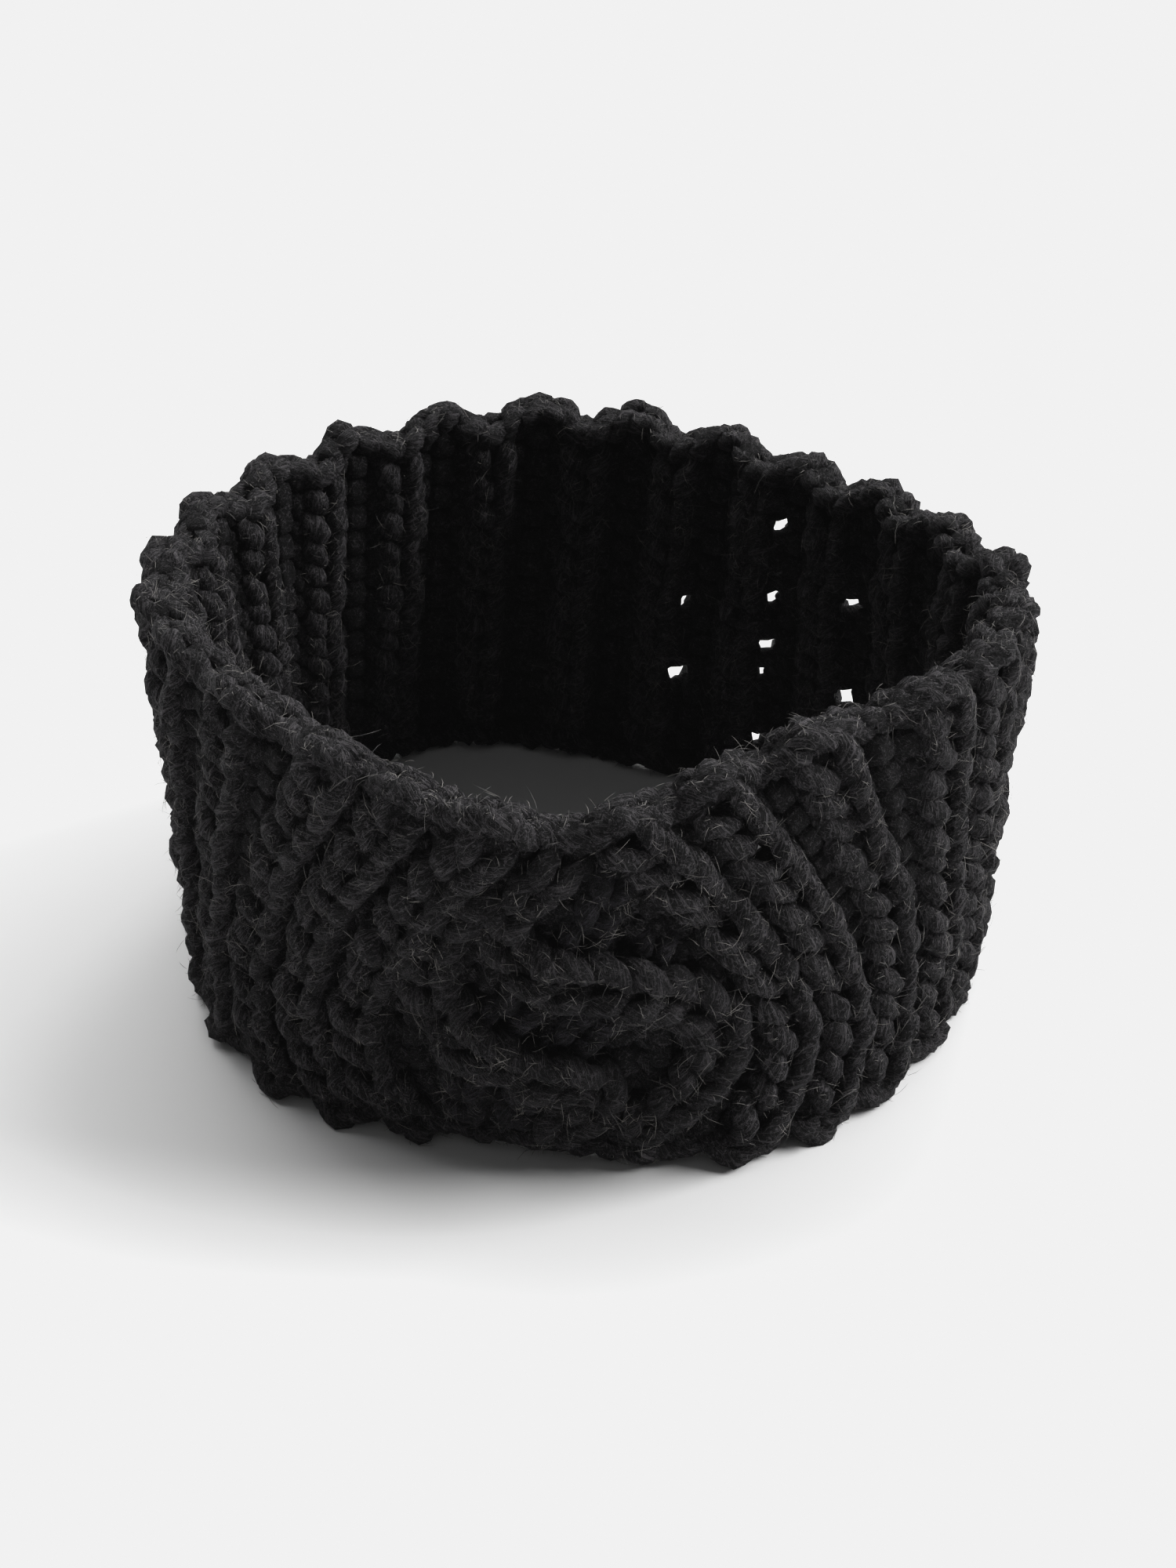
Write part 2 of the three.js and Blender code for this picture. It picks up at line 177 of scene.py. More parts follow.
@dataclass
class BandForm:
    """The form that the fabric stands in: its plan, its lean and its height."""

    mean_radius: float = 87.0
    side_shift: float = -0.7
    depth_shift: float = -3.0
    height: float = 99.5
    cable_dip: float = 10.0
    dip_reach: float = 37.0
    # shares of the mean radius at sixteen bearings, counter-clockwise from the right
    foot_plan: tuple[float, ...] = (
        1.05, 1.05, 0.95, 0.87, 0.95, 1.08, 1.09, 1.0, 0.98, 1.02, 1.0, 0.93, 0.95, 1.02, 1.03, 1.03)
    rim_plan: tuple[float, ...] = (
        1.11, 1.01, 0.93, 0.98, 1.06, 1.07, 1.07, 1.1, 1.08, 0.99, 0.94, 0.95, 0.92, 0.85, 0.89, 1.04)
    front_bearing: float = 0.75 * FULL_TURN
    plan_steps: int = 720
    bearings: np.ndarray = field(init=False)
    lengths: np.ndarray = field(init=False)

    def __post_init__(self) -> None:
        """Measure the wall's length round the plan at half height, from the front centre."""
        self.bearings = self.front_bearing + np.linspace(0.0, FULL_TURN, self.plan_steps + 1)
        radius = self.radius(self.bearings, 0.5)
        self.lengths = lengths_along(radius * np.cos(self.bearings), radius * np.sin(self.bearings))

    @property
    def girth(self) -> float:
        """The length once round the wall at half height."""
        return float(self.lengths[-1])

    def plan_share(self, rows: tuple[float, ...], bearing: np.ndarray) -> np.ndarray:
        """Read the closed smooth curve through a plan's rows.

        Args:
            rows: shares of the mean radius, evenly spaced round the plan.
            bearing: where to read them.

        Returns:
            A share for each bearing.
        """
        shares = np.array(rows)
        place = (bearing / FULL_TURN * len(shares)) % len(shares)
        row = np.floor(place).astype(int)
        four = [shares[(row + step) % len(shares)] for step in (-1, 0, 1, 2)]
        return between_keys(four, place - row)

    def radius(self, bearing: np.ndarray, up: np.ndarray | float) -> np.ndarray:
        """Measure from the plan's middle to the wall's, which is straight from foot to rim.

        Args:
            bearing: the way from the middle.
            up: the share of the height.

        Returns:
            The distance in mm.
        """
        foot = self.plan_share(self.foot_plan, bearing)
        rim = self.plan_share(self.rim_plan, bearing)
        return self.mean_radius * (foot + (rim - foot) * up)

    def bearing(self, along: np.ndarray) -> np.ndarray:
        """The bearing of places that lie this far along the wall from the front centre."""
        return np.interp(np.mod(along, self.girth), self.lengths, self.bearings)

    def rim_height(self, along: np.ndarray) -> np.ndarray:
        """Work out the rim's height from the fabric's length, its lean and its dip at the cable.

        The dip is cable_dip · exp(-(distance / reach)^2), and height^2 = length^2 - lean^2.

        Args:
            along: places along the wall.

        Returns:
            The height at each, in mm.
        """
        wrapped = along - self.girth * np.round(along / self.girth)
        length = self.height - self.cable_dip * np.exp(-((wrapped / self.dip_reach) ** 2))
        bearing = self.bearing(along)
        lean = self.radius(bearing, 1.0) - self.radius(bearing, 0.0)
        return np.sqrt(length**2 - lean**2)

    def place(self, flat: np.ndarray) -> np.ndarray:
        """Bend flat places onto the wall.

        Args:
            flat: along the wall, height and how far proud of the wall's middle, in the last axis.

        Returns:
            For each place X, Y, Z and then the way out of the wall there, as six columns.
        """
        along, height, proud = np.moveaxis(flat, -1, 0)
        bearing = self.bearing(along)
        radius = self.radius(bearing, np.clip(height / self.rim_height(along), 0.0, 1.0)) + proud
        out = np.stack([np.cos(bearing), np.sin(bearing), np.zeros_like(bearing)], axis=-1)
        x = self.side_shift + radius * out[..., 0]
        y = self.depth_shift + radius * out[..., 1]
        return np.concatenate([np.stack([x, y, height], axis=-1), out], axis=-1)


@dataclass
class Columns:
    """The columns of stitches: where each runs from foot to rim, and which face it stands on.

    Even columns from 0 are the ribs, odd ones the purled gutters between them, and after the last
    rib come the purled columns of the plain ground behind the cable.
    """

    form: BandForm
    rib_count: int = 24
    ground_parts: int = 12
    right_of_cable: float = 44.0
    left_of_cable: float = 47.5
    front_pitch: float = 13.6
    opening_curve: float = 1.5
    rim_draw: float = 40.0
    foot_draw: float = 18.0
    widest_at: float = 0.3
    rim_bow_curve: float = 1.5
    foot_bow_curve: float = 1.8
    back_lean: float = 9.0  # the ribs at the back lean this far sideways from foot to rim
    lean_reach: float = 90.0
    lean_from: float = 0.45  # the share of the height where a leaning rib keeps its place
    # shares of the two draws, at the rim and at the foot, for the ribs beside the cable
    bow_right: tuple[tuple[float, float], ...] = ((1.0, 1.0), (0.83, 0.66), (0.52, 0.55), (0.05, 0.1))
    bow_left: tuple[tuple[float, float], ...] = ((0.95, 1.0), (0.82, 0.7), (0.72, 0.5), (0.32, 0.05))
    rim_scallop: float = 4.2
    foot_scallop: float = 1.7
    lowest: float = 4.6
    below_rim: float = 4.6
    steps: int = 240
    faces: np.ndarray = field(init=False)
    paths: np.ndarray = field(init=False)
    sides: np.ndarray = field(init=False)

    def __post_init__(self) -> None:
        """Lay every column out as evenly spaced places, with the way across it at each."""
        up = np.linspace(0.0, 1.0, self.steps)
        along = self.along_wall(up)
        height = up * self.form.rim_height(along)
        ribs = 2 * self.rib_count - 1
        order = np.arange(len(along))
        self.faces = np.where((order < ribs) & (order % 2 == 0), Face.KNIT.value, Face.PURL.value)
        sunk = self.faces < 0
        low = self.lowest + self.foot_scallop * sunk
        high = height[:, -1] - self.below_rim - self.rim_scallop * sunk
        length = lengths_along(along, height)
        self.paths = np.stack([
            self.even_path(*rows) for rows in zip(along, height, length, low, high)])
        tangent = unit(np.gradient(self.paths, axis=1))
        self.sides = np.stack([tangent[..., 1], -tangent[..., 0]], axis=-1)

    def even_path(
        self, along: np.ndarray, height: np.ndarray, length: np.ndarray, low: float, high: float
    ) -> np.ndarray:
        """Divide one column evenly by its length between two heights.

        Args:
            along: its places along the wall.
            height: their heights.
            length: its length up to each.
            low: the height to start from.
            high: the height to end at.

        Returns:
            Along and height, row by row.
        """
        first, last = np.interp([low, high], height, length)
        at = np.linspace(first, last, self.steps)
        return np.stack([np.interp(at, length, along), np.interp(at, length, height)], axis=-1)

    def rib_places(self) -> np.ndarray:
        """Space the ribs out, with gaps that open out towards the back.

        Returns:
            How far along the wall each rib lies at its widest.
        """
        gaps = self.rib_count - 1
        shares = np.sin(np.pi * (np.arange(gaps) + 0.5) / gaps) ** self.opening_curve
        spare = self.form.girth - self.right_of_cable - self.left_of_cable - gaps * self.front_pitch
        widths = self.front_pitch + spare * shares / shares.sum()
        return self.right_of_cable + np.concatenate([[0.0], np.cumsum(widths)])

    def crests(self, up: np.ndarray) -> np.ndarray:
        """Run every rib up the wall.

        The ribs beside the cable are drawn towards it above and below their widest place, by the
        draw times the share of the way there raised to the bow's curve. Those at the back lean
        by back_lean · exp(-(distance / reach)^2).

        Args:
            up: shares of the height.

        Returns:
            For each rib how far along the wall it lies at each share.
        """
        above = np.maximum(0.0, (up - self.widest_at) / (1.0 - self.widest_at)) ** self.rim_bow_curve
        below = np.maximum(0.0, (self.widest_at - up) / self.widest_at) ** self.foot_bow_curve
        draws = np.zeros((self.rib_count, 2))
        draws[:len(self.bow_right)] = -np.array(self.bow_right)
        draws[-len(self.bow_left):] = np.array(self.bow_left)[::-1]
        moved = self.rim_draw * draws[:, :1] * above + self.foot_draw * draws[:, 1:] * below
        places = self.rib_places()[:, None]
        lean = self.back_lean * np.exp(-(((places - self.form.girth / 2) / self.lean_reach) ** 2))
        return places + moved - lean * (up - self.lean_from)

    def along_wall(self, up: np.ndarray) -> np.ndarray:
        """Run every column up the wall: ribs, the gutters halfway between them and the ground.

        Args:
            up: shares of the height.

        Returns:
            For each column how far along the wall it lies at each share.
        """
        crests = self.crests(up)
        ribs = np.empty((2 * self.rib_count - 1, len(up)))
        ribs[0::2] = crests
        ribs[1::2] = (crests[:-1] + crests[1:]) / 2
        width = crests[0] + self.form.girth - crests[-1]
        parts = np.arange(1, self.ground_parts)[:, None] / self.ground_parts
        return np.vstack([ribs, crests[-1] + parts * width])

    def present(self, share: float, least: float) -> np.ndarray:
        """The columns that a course passes at a share of the length.

        The ground narrows to the rim, so half of its columns end, and then half of the rest,
        where they would stand closer than the least spacing.

        Args:
            share: how far up the columns the course lies.
            least: the least spacing of the ground's columns.

        Returns:
            The indices of the columns, in order round the band.
        """
        row = round(share * (self.steps - 1))
        ribs = 2 * self.rib_count - 1
        width = self.paths[0, row, 0] + self.form.girth - self.paths[ribs - 1, row, 0]
        every = 1
        while every < self.ground_parts // 3 and width * every / self.ground_parts < least:
            every *= 2
        return np.concatenate([np.arange(ribs), np.arange(ribs - 1 + every, len(self.paths), every)])

    def read(self, columns: np.ndarray, share: np.ndarray) -> tuple[np.ndarray, np.ndarray]:
        """Read columns at shares of their length.

        Args:
            columns: which columns.
            share: the shares, from 0 at the foot to 1 at the rim.

        Returns:
            The place there, along and height, and the way across the column.
        """
        at = np.clip(share, 0.0, 1.0) * (self.steps - 1)
        low = np.minimum(np.floor(at).astype(int), self.steps - 2)
        f = (at - low)[..., None]
        place = self.paths[columns, low] * (1 - f) + self.paths[columns, low + 1] * f
        side = self.sides[columns, low] * (1 - f) + self.sides[columns, low + 1] * f
        return place, side


@dataclass(frozen=True)
class Stitch:
    """The shape of one loop of yarn, as eight places that the yarn passes through.

    From the left the yarn dips below the loop (sinker), comes forward at the neck, slants up the
    left leg, turns over the head behind the next loop, and comes down the right leg to the other
    neck. The left leg slants and the right leg stands nearly upright, as the twist of the yarn
    makes them, so one side of each rib reads as beads and the other as a line.
    """

    reach: float = 0.8  # half the loop's height, in rows
    waist: float = 0.566  # height of the necks and shoulders, in rows
    relief: float = 1.75
    left_neck: float = 0.7
    left_shoulder: float = 4.1
    right_neck: float = 2.5
    right_shoulder: float = 3.2
    proud_leg: float = 0.4
    upright: float = 1.35  # the right leg's ends lie this much prouder than the left leg's
    crown_depth: float = 0.5

    def keys(self) -> np.ndarray:
        """Set out the eight places of a loop.

        Returns:
            For each: across in mm, up in rows, proud in mm, and the yarn's thickness as a share.
        """
        left_leg = (self.left_neck + self.left_shoulder) / 2
        right_leg = (self.right_neck + self.right_shoulder) / 2
        full = 2 * self.relief
        return np.array([
            [0.0, -self.reach, 0.0, 1.0],
            [-self.left_neck, -self.waist, self.relief, 0.84],
            [-left_leg, 0.0, full, 1.14],
            [-self.left_shoulder, self.waist, self.relief, 0.96],
            [0.0, self.reach, self.crown_depth, 1.0],
            [self.right_shoulder, self.waist, self.relief * self.upright, 0.94],
            [right_leg, 0.0, full + self.proud_leg, 1.08],
            [self.right_neck, -self.waist, self.relief * self.upright, 0.9],
        ])

    def turned(self) -> np.ndarray:
        """Turn the loop to the other side of the fabric, as it is purled.

        Returns:
            The same columns as keys gives, in the order that the yarn runs.
        """
        keys = self.keys()
        order = np.array([0, 7, 6, 5, 4, 3, 2, 1])
        return keys[order] * np.array([-1.0, 1.0, -1.0, 1.0])


@dataclass
class Strand:
    """A length of yarn as a swept tube, with what loose fibres need to root on it."""

    points: np.ndarray
    normals: np.ndarray
    tangents: np.ndarray
    facing: np.ndarray
    lay: np.ndarray
    closed: bool

    def surface(self) -> tuple[np.ndarray, np.ndarray, np.ndarray]:
        """The tube as a closed surface.

        Returns:
            Its points, its corners as one row of point numbers, and how many corners each face has.
        """
        rings, sides = self.points.shape[:2]
        ring = np.arange(rings if self.closed else rings - 1)[:, None]
        side = np.arange(sides)[None, :]
        after, beside = (ring + 1) % rings, (side + 1) % sides
        quads = np.stack([
            ring * sides + side, ring * sides + beside, after * sides + beside, after * sides + side,
        ], axis=-1).reshape(-1, 4)
        points = self.points.reshape(-1, 3)
        if self.closed:
            return points, quads.ravel(), np.full(len(quads), 4)
        first, last = len(points), len(points) + 1
        end = (rings - 1) * sides
        turn = np.arange(sides)
        onward = (turn + 1) % sides
        start_fan = np.stack([np.full(sides, first), onward, turn], axis=1)
        end_fan = np.stack([np.full(sides, last), end + turn, end + onward], axis=1)
        middles = np.stack([self.points[0].mean(axis=0), self.points[-1].mean(axis=0)])
        corners = np.concatenate([quads.ravel(), start_fan.ravel(), end_fan.ravel()])
        sizes = np.concatenate([np.full(len(quads), 4), np.full(2 * sides, 3)])
        return np.vstack([points, middles]), corners, sizes


@dataclass(frozen=True)
class Yarn:
    """The yarn: thick, soft, loosely twisted wool."""

    radius: float = 2.45
    sides: int = 10
    steps: int = 3  # rings from one place of a stitch to the next
    twist_pitch: float = 13.0
    streak: float = 0.16  # fibres look this share as fine along the yarn as across it
    lumps: float = 0.27

    def sweep(self, keys: np.ndarray, closed: bool, rng: np.random.Generator) -> Strand:
        """Carry an uneven circle along the yarn's line.

        Each ring is centre + radius (cos a · across + sin a · other), where across is the wall's
        way out made square to the line, and other is square to both. Lumps change the radius.

        Args:
            keys: X, Y, Z, the way out of the wall, thickness and how much the place faces out.
            closed: whether the yarn's end joins its start.
            rng: for the lumps.

        Returns:
            The tube.
        """
        track = smooth_curve(keys, self.steps, closed)
        centre, outward, thick, facing = track[:, :3], unit(track[:, 3:6]), track[:, 6], track[:, 7]
        if closed:
            tangent = unit(np.roll(centre, -1, axis=0) - np.roll(centre, 1, axis=0))
        else:
            tangent = unit(np.gradient(centre, axis=0))
        across = unit(outward - tangent * np.sum(outward * tangent, axis=1, keepdims=True))
        other = np.cross(tangent, across)
        angle = FULL_TURN * np.arange(self.sides) / self.sides
        normals = (across[:, None] * np.cos(angle)[:, None] + other[:, None] * np.sin(angle)[:, None])
        lump = rng.normal(0.0, self.lumps, (len(centre), self.sides))
        points = centre[:, None] + normals * (self.radius * thick[:, None] + lump)[..., None]
        gap = np.linalg.norm(np.diff(centre, axis=0, append=centre[:1]), axis=1)
        length = np.cumsum(gap) - gap
        total = gap.sum() if closed else length[-1]
        turns = max(1, round(total / self.twist_pitch))
        twisted = angle[None, :] - FULL_TURN * turns * length[:, None] / total
        lay = np.stack([
            np.broadcast_to(self.streak * length[:, None], twisted.shape),
            self.radius * np.cos(twisted), self.radius * np.sin(twisted),
        ], axis=-1)
        return Strand(points, normals, tangent, outward * facing[:, None], lay, closed)


def needles(
    line: np.ndarray, thick: np.ndarray, out: np.ndarray, sides: int
) -> tuple[np.ndarray, np.ndarray]:
    """Make closed spindles along short lines, all at once.

    A spindle starts and ends in a point and has a ring round each place between, which is
    place + thick (cos a · one + sin a · two), with one and two square to the line.

    Args:
        line: for each spindle its places, from end to end.
        thick: for each spindle the radius at each place between the ends.
        out: for each spindle a way that isn't along it.
        sides: sides of a ring.

    Returns:
        The points and the triangles.
    """
    count, places = line.shape[:2]
    rings = places - 2
    tangent = unit(line[:, -1] - line[:, 0])
    one = unit(np.cross(tangent, out))
    two = np.cross(tangent, one)
    angle = FULL_TURN * np.arange(sides) / sides
    ring = one[:, None] * np.cos(angle)[:, None] + two[:, None] * np.sin(angle)[:, None]
    round_it = line[:, 1:-1, None] + ring[:, None] * thick[..., None, None]
    rounds = round_it.reshape(count, rings * sides, 3)
    body = np.concatenate([line[:, :1], rounds, line[:, -1:]], axis=1)
    side = np.arange(sides)
    after = (side + 1) % sides
    last = rings * sides + 1
    faces = [np.stack([np.zeros(sides, dtype=int), 1 + after, 1 + side], axis=1)]
    for start in range(1, last - sides, sides):
        faces.append(np.stack([start + side, start + after, start + sides + after], axis=1))
        faces.append(np.stack([start + side, start + sides + after, start + sides + side], axis=1))
    tip = last - sides
    faces.append(np.stack([tip + side, tip + after, np.full(sides, last)], axis=1))
    triangles = np.vstack(faces)[None] + (last + 1) * np.arange(count)[:, None, None]
    return body.reshape(-1, 3), triangles.reshape(-1, 3)


def new_object(name: str, data: bpy.types.ID) -> bpy.types.Object:
    """Make an object of a mesh, a light or a camera, and link it to the scene.

    Args:
        name: the object's name.
        data: what it holds.

    Returns:
        The object.
    """
    thing = bpy.data.objects.new(name, data)
    bpy.context.scene.collection.objects.link(thing)
    return thing


def new_piece(
    name: str, points: np.ndarray, corners: np.ndarray, sizes: np.ndarray, lay: np.ndarray | None
) -> bpy.types.Object:
    """Put a surface that is in millimetres into a new object, in metres.

    Args:
        name: the piece's name.
        points: the surface's points.
        corners: point numbers, face after face.
        sizes: how many corners each face has.
        lay: places within the yarn for each point, in mm, or None.

    Returns:
        The object, linked to the scene.
    """
    mesh = bpy.data.meshes.new(name)
    mesh.vertices.add(len(points))
    mesh.vertices.foreach_set("co", (points * MM).astype(np.float32).ravel())
    mesh.loops.add(len(corners))
    mesh.loops.foreach_set("vertex_index", corners.astype(np.int32))
    mesh.polygons.add(len(sizes))
    mesh.polygons.foreach_set("loop_start", (np.cumsum(sizes) - sizes).astype(np.int32))
    mesh.polygons.foreach_set("use_smooth", np.ones(len(sizes), dtype=bool))
    if lay is not None:
        attribute = mesh.attributes.new("lay", "FLOAT_VECTOR", "POINT")
        attribute.data.foreach_set("vector", lay.astype(np.float32).ravel())
    mesh.update(calc_edges=True)
    mesh.validate()
    return new_object(name, mesh)


def above_floor(points: np.ndarray, least: float = 0.0) -> np.ndarray:
    """A copy of the points, of which none is lower than the least height."""
    return np.maximum(points, np.array([-np.inf, -np.inf, least]))


def yarn_piece(
    name: str, strand: Strand, finish: bpy.types.Material, nodes: tuple[str, ...]
) -> bpy.types.Object:
    """Make a strand a piece of the headband.

    Args:
        name: the piece's name.
        strand: the yarn.
        finish: its material.
        nodes: the CAD nodes that it takes the place of.

    Returns:
        The object.
    """
    points, corners, sizes = strand.surface()
    lay = strand.lay.reshape(-1, 3)
    if not strand.closed:
        lay = np.vstack([lay, strand.lay[0].mean(axis=0), strand.lay[-1].mean(axis=0)])
    piece = new_piece(name, above_floor(points), corners, sizes, lay)
    piece.data.materials.append(finish)
    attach(piece, BODY)
    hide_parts(*nodes)
    LOG.info("%s: %d faces", name, len(sizes))
    return piece


def add_node(
    tree: bpy.types.NodeTree, kind: str, settings: dict | None = None, links: dict | None = None
) -> bpy.types.Node:
    """Add a shader node, set its values and link its inputs.

    Args:
        tree: the material's nodes.
        kind: the node's type.
        settings: attribute names, or input names or numbers, with their values.
        links: input names or numbers, with the output sockets that feed them.

    Returns:
        The node.
    """
    node = tree.nodes.new(kind)
    for key, value in (settings or {}).items():
        if isinstance(key, str) and hasattr(node, key):
            setattr(node, key, value)
        else:
            node.inputs[key].default_value = value
    for key, source in (links or {}).items():
        tree.links.new(source, node.inputs[key])
    return node


def blank_material(name: str) -> bpy.types.Material:
    """Make a material with an empty node tree.

    Args:
        name: the material's name.

    Returns:
        The material.
    """
    finish = bpy.data.materials.new(name)
    finish.use_nodes = True
    finish.node_tree.nodes.clear()
    return finish


@dataclass(frozen=True)
class WoolFinish:
    """Black sheep's wool, loosely spun and hand knitted.

    The fibres run along the twisted yarn, so it shows fine lengthwise streaks and soft plies. It
    has no gloss, and short fibres on its surface catch light at the edges. Thin curling lines in
    the glint colour are painted highlights, where single fibres catch the light.
    """

    name: str
    dark: str
    light: str
    # painted highlight: the light grey of the fibre lines, for light that single black fibres catch
    fibre_glint: str
    sheen: float = 0.06
    sheen_tint: str = "b4b4b8"
    ior: float = 1.55  # keratin
    specular: float = 0.1  # scales break the gloss up
    roughness: float = 0.65
    plies: int = 3
    fibre_mm: float = 0.3  # drawn coarser than real wool, which is 0.03 mm, so that it shows
    lock_mm: float = 1.4
    tuft_mm: float = 2.4
    glint_line_width: float = 0.035
    tuft_share: float = 0.9  # how much tufts weigh against streaks in the wool's shade
    shade_from: float = 0.72
    shade_to: float = 1.22
    ply_strength: float = 0.9
    ply_depth_mm: float = 0.3
    tuft_depth_mm: float = 4.0
    streak_depth_mm: float = 1.5

    def glint_lines(
        self, tree: bpy.types.NodeTree, scale: float, place: bpy.types.NodeSocket
    ) -> bpy.types.NodeSocket:
        """Draw thin curling lines: 1 where a smooth noise passes through one half, 0 away from it.

        Args:
            tree: the material's nodes.
            scale: the noise's scale.
            place: the coordinates that it reads.

        Returns:
            The socket with the lines.
        """
        # these lines are the mask of the painted fibre highlights
        wave = add_node(tree, "ShaderNodeTexNoise", {
            "Scale": scale, "Detail": 1.5, "Distortion": 1.0}, {"Vector": place}).outputs["Fac"]
        off = add_node(tree, "ShaderNodeMath", {"operation": "SUBTRACT", 1: 0.5}, {0: wave}).outputs[0]
        away = add_node(tree, "ShaderNodeMath", {"operation": "ABSOLUTE"}, {0: off}).outputs[0]
        return add_node(tree, "ShaderNodeMapRange", {
            "From Min": 0.0, "From Max": self.glint_line_width, "To Min": 1.0, "To Max": 0.0}, {
            "Value": away}).outputs["Result"]

    def material(self) -> bpy.types.Material:
        """Build the shader: streaks and plies by the yarn's own places, tufts by the object's.

        Returns:
            The material.
        """
        finish = blank_material(self.name)
        tree = finish.node_tree
        lay = add_node(tree, "ShaderNodeAttribute", {"attribute_name": "lay"}).outputs["Vector"]
        spot = add_node(tree, "ShaderNodeTexCoord").outputs["Object"]
        streak = add_node(tree, "ShaderNodeTexNoise", {
            "Scale": 1.0 / self.fibre_mm, "Detail": 3.0, "Roughness": 0.7, "Distortion": 0.5,
        }, {"Vector": lay}).outputs["Fac"]
        tuft = add_node(tree, "ShaderNodeTexNoise", {
            "Scale": 1.0 / (self.tuft_mm * MM), "Detail": 4.0, "Roughness": 0.65,
        }, {"Vector": spot}).outputs["Fac"]
        along = self.glint_lines(tree, 1.0 / self.lock_mm, lay)
        astray = self.glint_lines(tree, 1.0 / (self.lock_mm * MM), spot)
        fibre_glint = add_node(tree, "ShaderNodeMath", {"operation": "MAXIMUM"}, {0: along, 1: astray}).outputs[0]
        parts = add_node(tree, "ShaderNodeSeparateXYZ", links={"Vector": lay})
        angle = add_node(tree, "ShaderNodeMath", {"operation": "ARCTAN2"}, {
            0: parts.outputs["Z"], 1: parts.outputs["Y"]}).outputs[0]
        turned = add_node(tree, "ShaderNodeMath", {"operation": "MULTIPLY", 1: float(self.plies)}, {
            0: angle}).outputs[0]
        ply = add_node(tree, "ShaderNodeMath", {"operation": "COSINE"}, {0: turned}).outputs[0]
        mixed = add_node(tree, "ShaderNodeMath", {"operation": "MULTIPLY_ADD", 1: self.tuft_share}, {
            0: tuft, 2: streak}).outputs[0]
        shade = add_node(tree, "ShaderNodeMapRange", {
            "From Min": self.shade_from, "From Max": self.shade_to,
            "interpolation_type": "SMOOTHSTEP"}, {"Value": mixed}).outputs["Result"]
        ground = add_node(tree, "ShaderNodeMix", {
            "data_type": "RGBA", 6: linear(self.dark), 7: linear(self.light)}, {0: shade}).outputs[2]
        # painted highlight: the fibre lines take the light glint colour over the wool's own near black
        colour = add_node(tree, "ShaderNodeMix", {"data_type": "RGBA", 7: linear(self.fibre_glint)}, {
            0: fibre_glint, 6: ground}).outputs[2]
        plied = add_node(tree, "ShaderNodeBump", {
            "Strength": self.ply_strength, "Distance": self.ply_depth_mm * MM}, {
            "Height": ply}).outputs["Normal"]
        tufted = add_node(tree, "ShaderNodeBump", {
            "Strength": 1.0, "Distance": self.tuft_depth_mm * MM}, {
            "Height": tuft, "Normal": plied}).outputs["Normal"]
        fibrous = add_node(tree, "ShaderNodeBump", {
            "Strength": 1.0, "Distance": self.streak_depth_mm * MM}, {
            "Height": streak, "Normal": tufted}).outputs["Normal"]
        shader = add_node(tree, "ShaderNodeBsdfPrincipled", {
            "Roughness": self.roughness, "IOR": self.ior, "Specular IOR Level": self.specular,
            "Sheen Weight": self.sheen, "Sheen Roughness": 0.5, "Sheen Tint": linear(self.sheen_tint),
        }, {"Base Color": colour, "Normal": fibrous}).outputs["BSDF"]
        add_node(tree, "ShaderNodeOutputMaterial", links={"Surface": shader})
        return finish


@dataclass(frozen=True)
class FibreFinish:
    """Single wool fibres that stand off the yarn.

    They are painted a lighter grey than the black yarn: a painted highlight for the light that
    single fibres catch.
    """

    name: str
    dark: str
    light: str
    spread_mm: float = 6.0
    shade_from: float = 0.35
    shade_to: float = 0.7
    roughness: float = 0.7
    ior: float = 1.55  # keratin

    def material(self) -> bpy.types.Material:
        """Build the shader: a grey of painted highlight, changing from fibre to fibre, without gloss.

        Returns:
            The material.
        """
        finish = blank_material(self.name)
        tree = finish.node_tree
        spot = add_node(tree, "ShaderNodeTexCoord").outputs["Object"]
        patch = add_node(tree, "ShaderNodeTexNoise", {
            "Scale": 1.0 / (self.spread_mm * MM), "Detail": 4.0}, {"Vector": spot}).outputs["Fac"]
        shade = add_node(tree, "ShaderNodeMapRange", {
            "From Min": self.shade_from, "From Max": self.shade_to}, {
            "Value": patch}).outputs["Result"]
        # painted highlight: greys far lighter than the black yarn
        colour = add_node(tree, "ShaderNodeMix", {
            "data_type": "RGBA", 6: linear(self.dark), 7: linear(self.light)}, {0: shade}).outputs[2]
        shader = add_node(tree, "ShaderNodeBsdfPrincipled", {
            "Roughness": self.roughness, "IOR": self.ior}, {"Base Color": colour}).outputs["BSDF"]
        add_node(tree, "ShaderNodeOutputMaterial", links={"Surface": shader})
        return finish


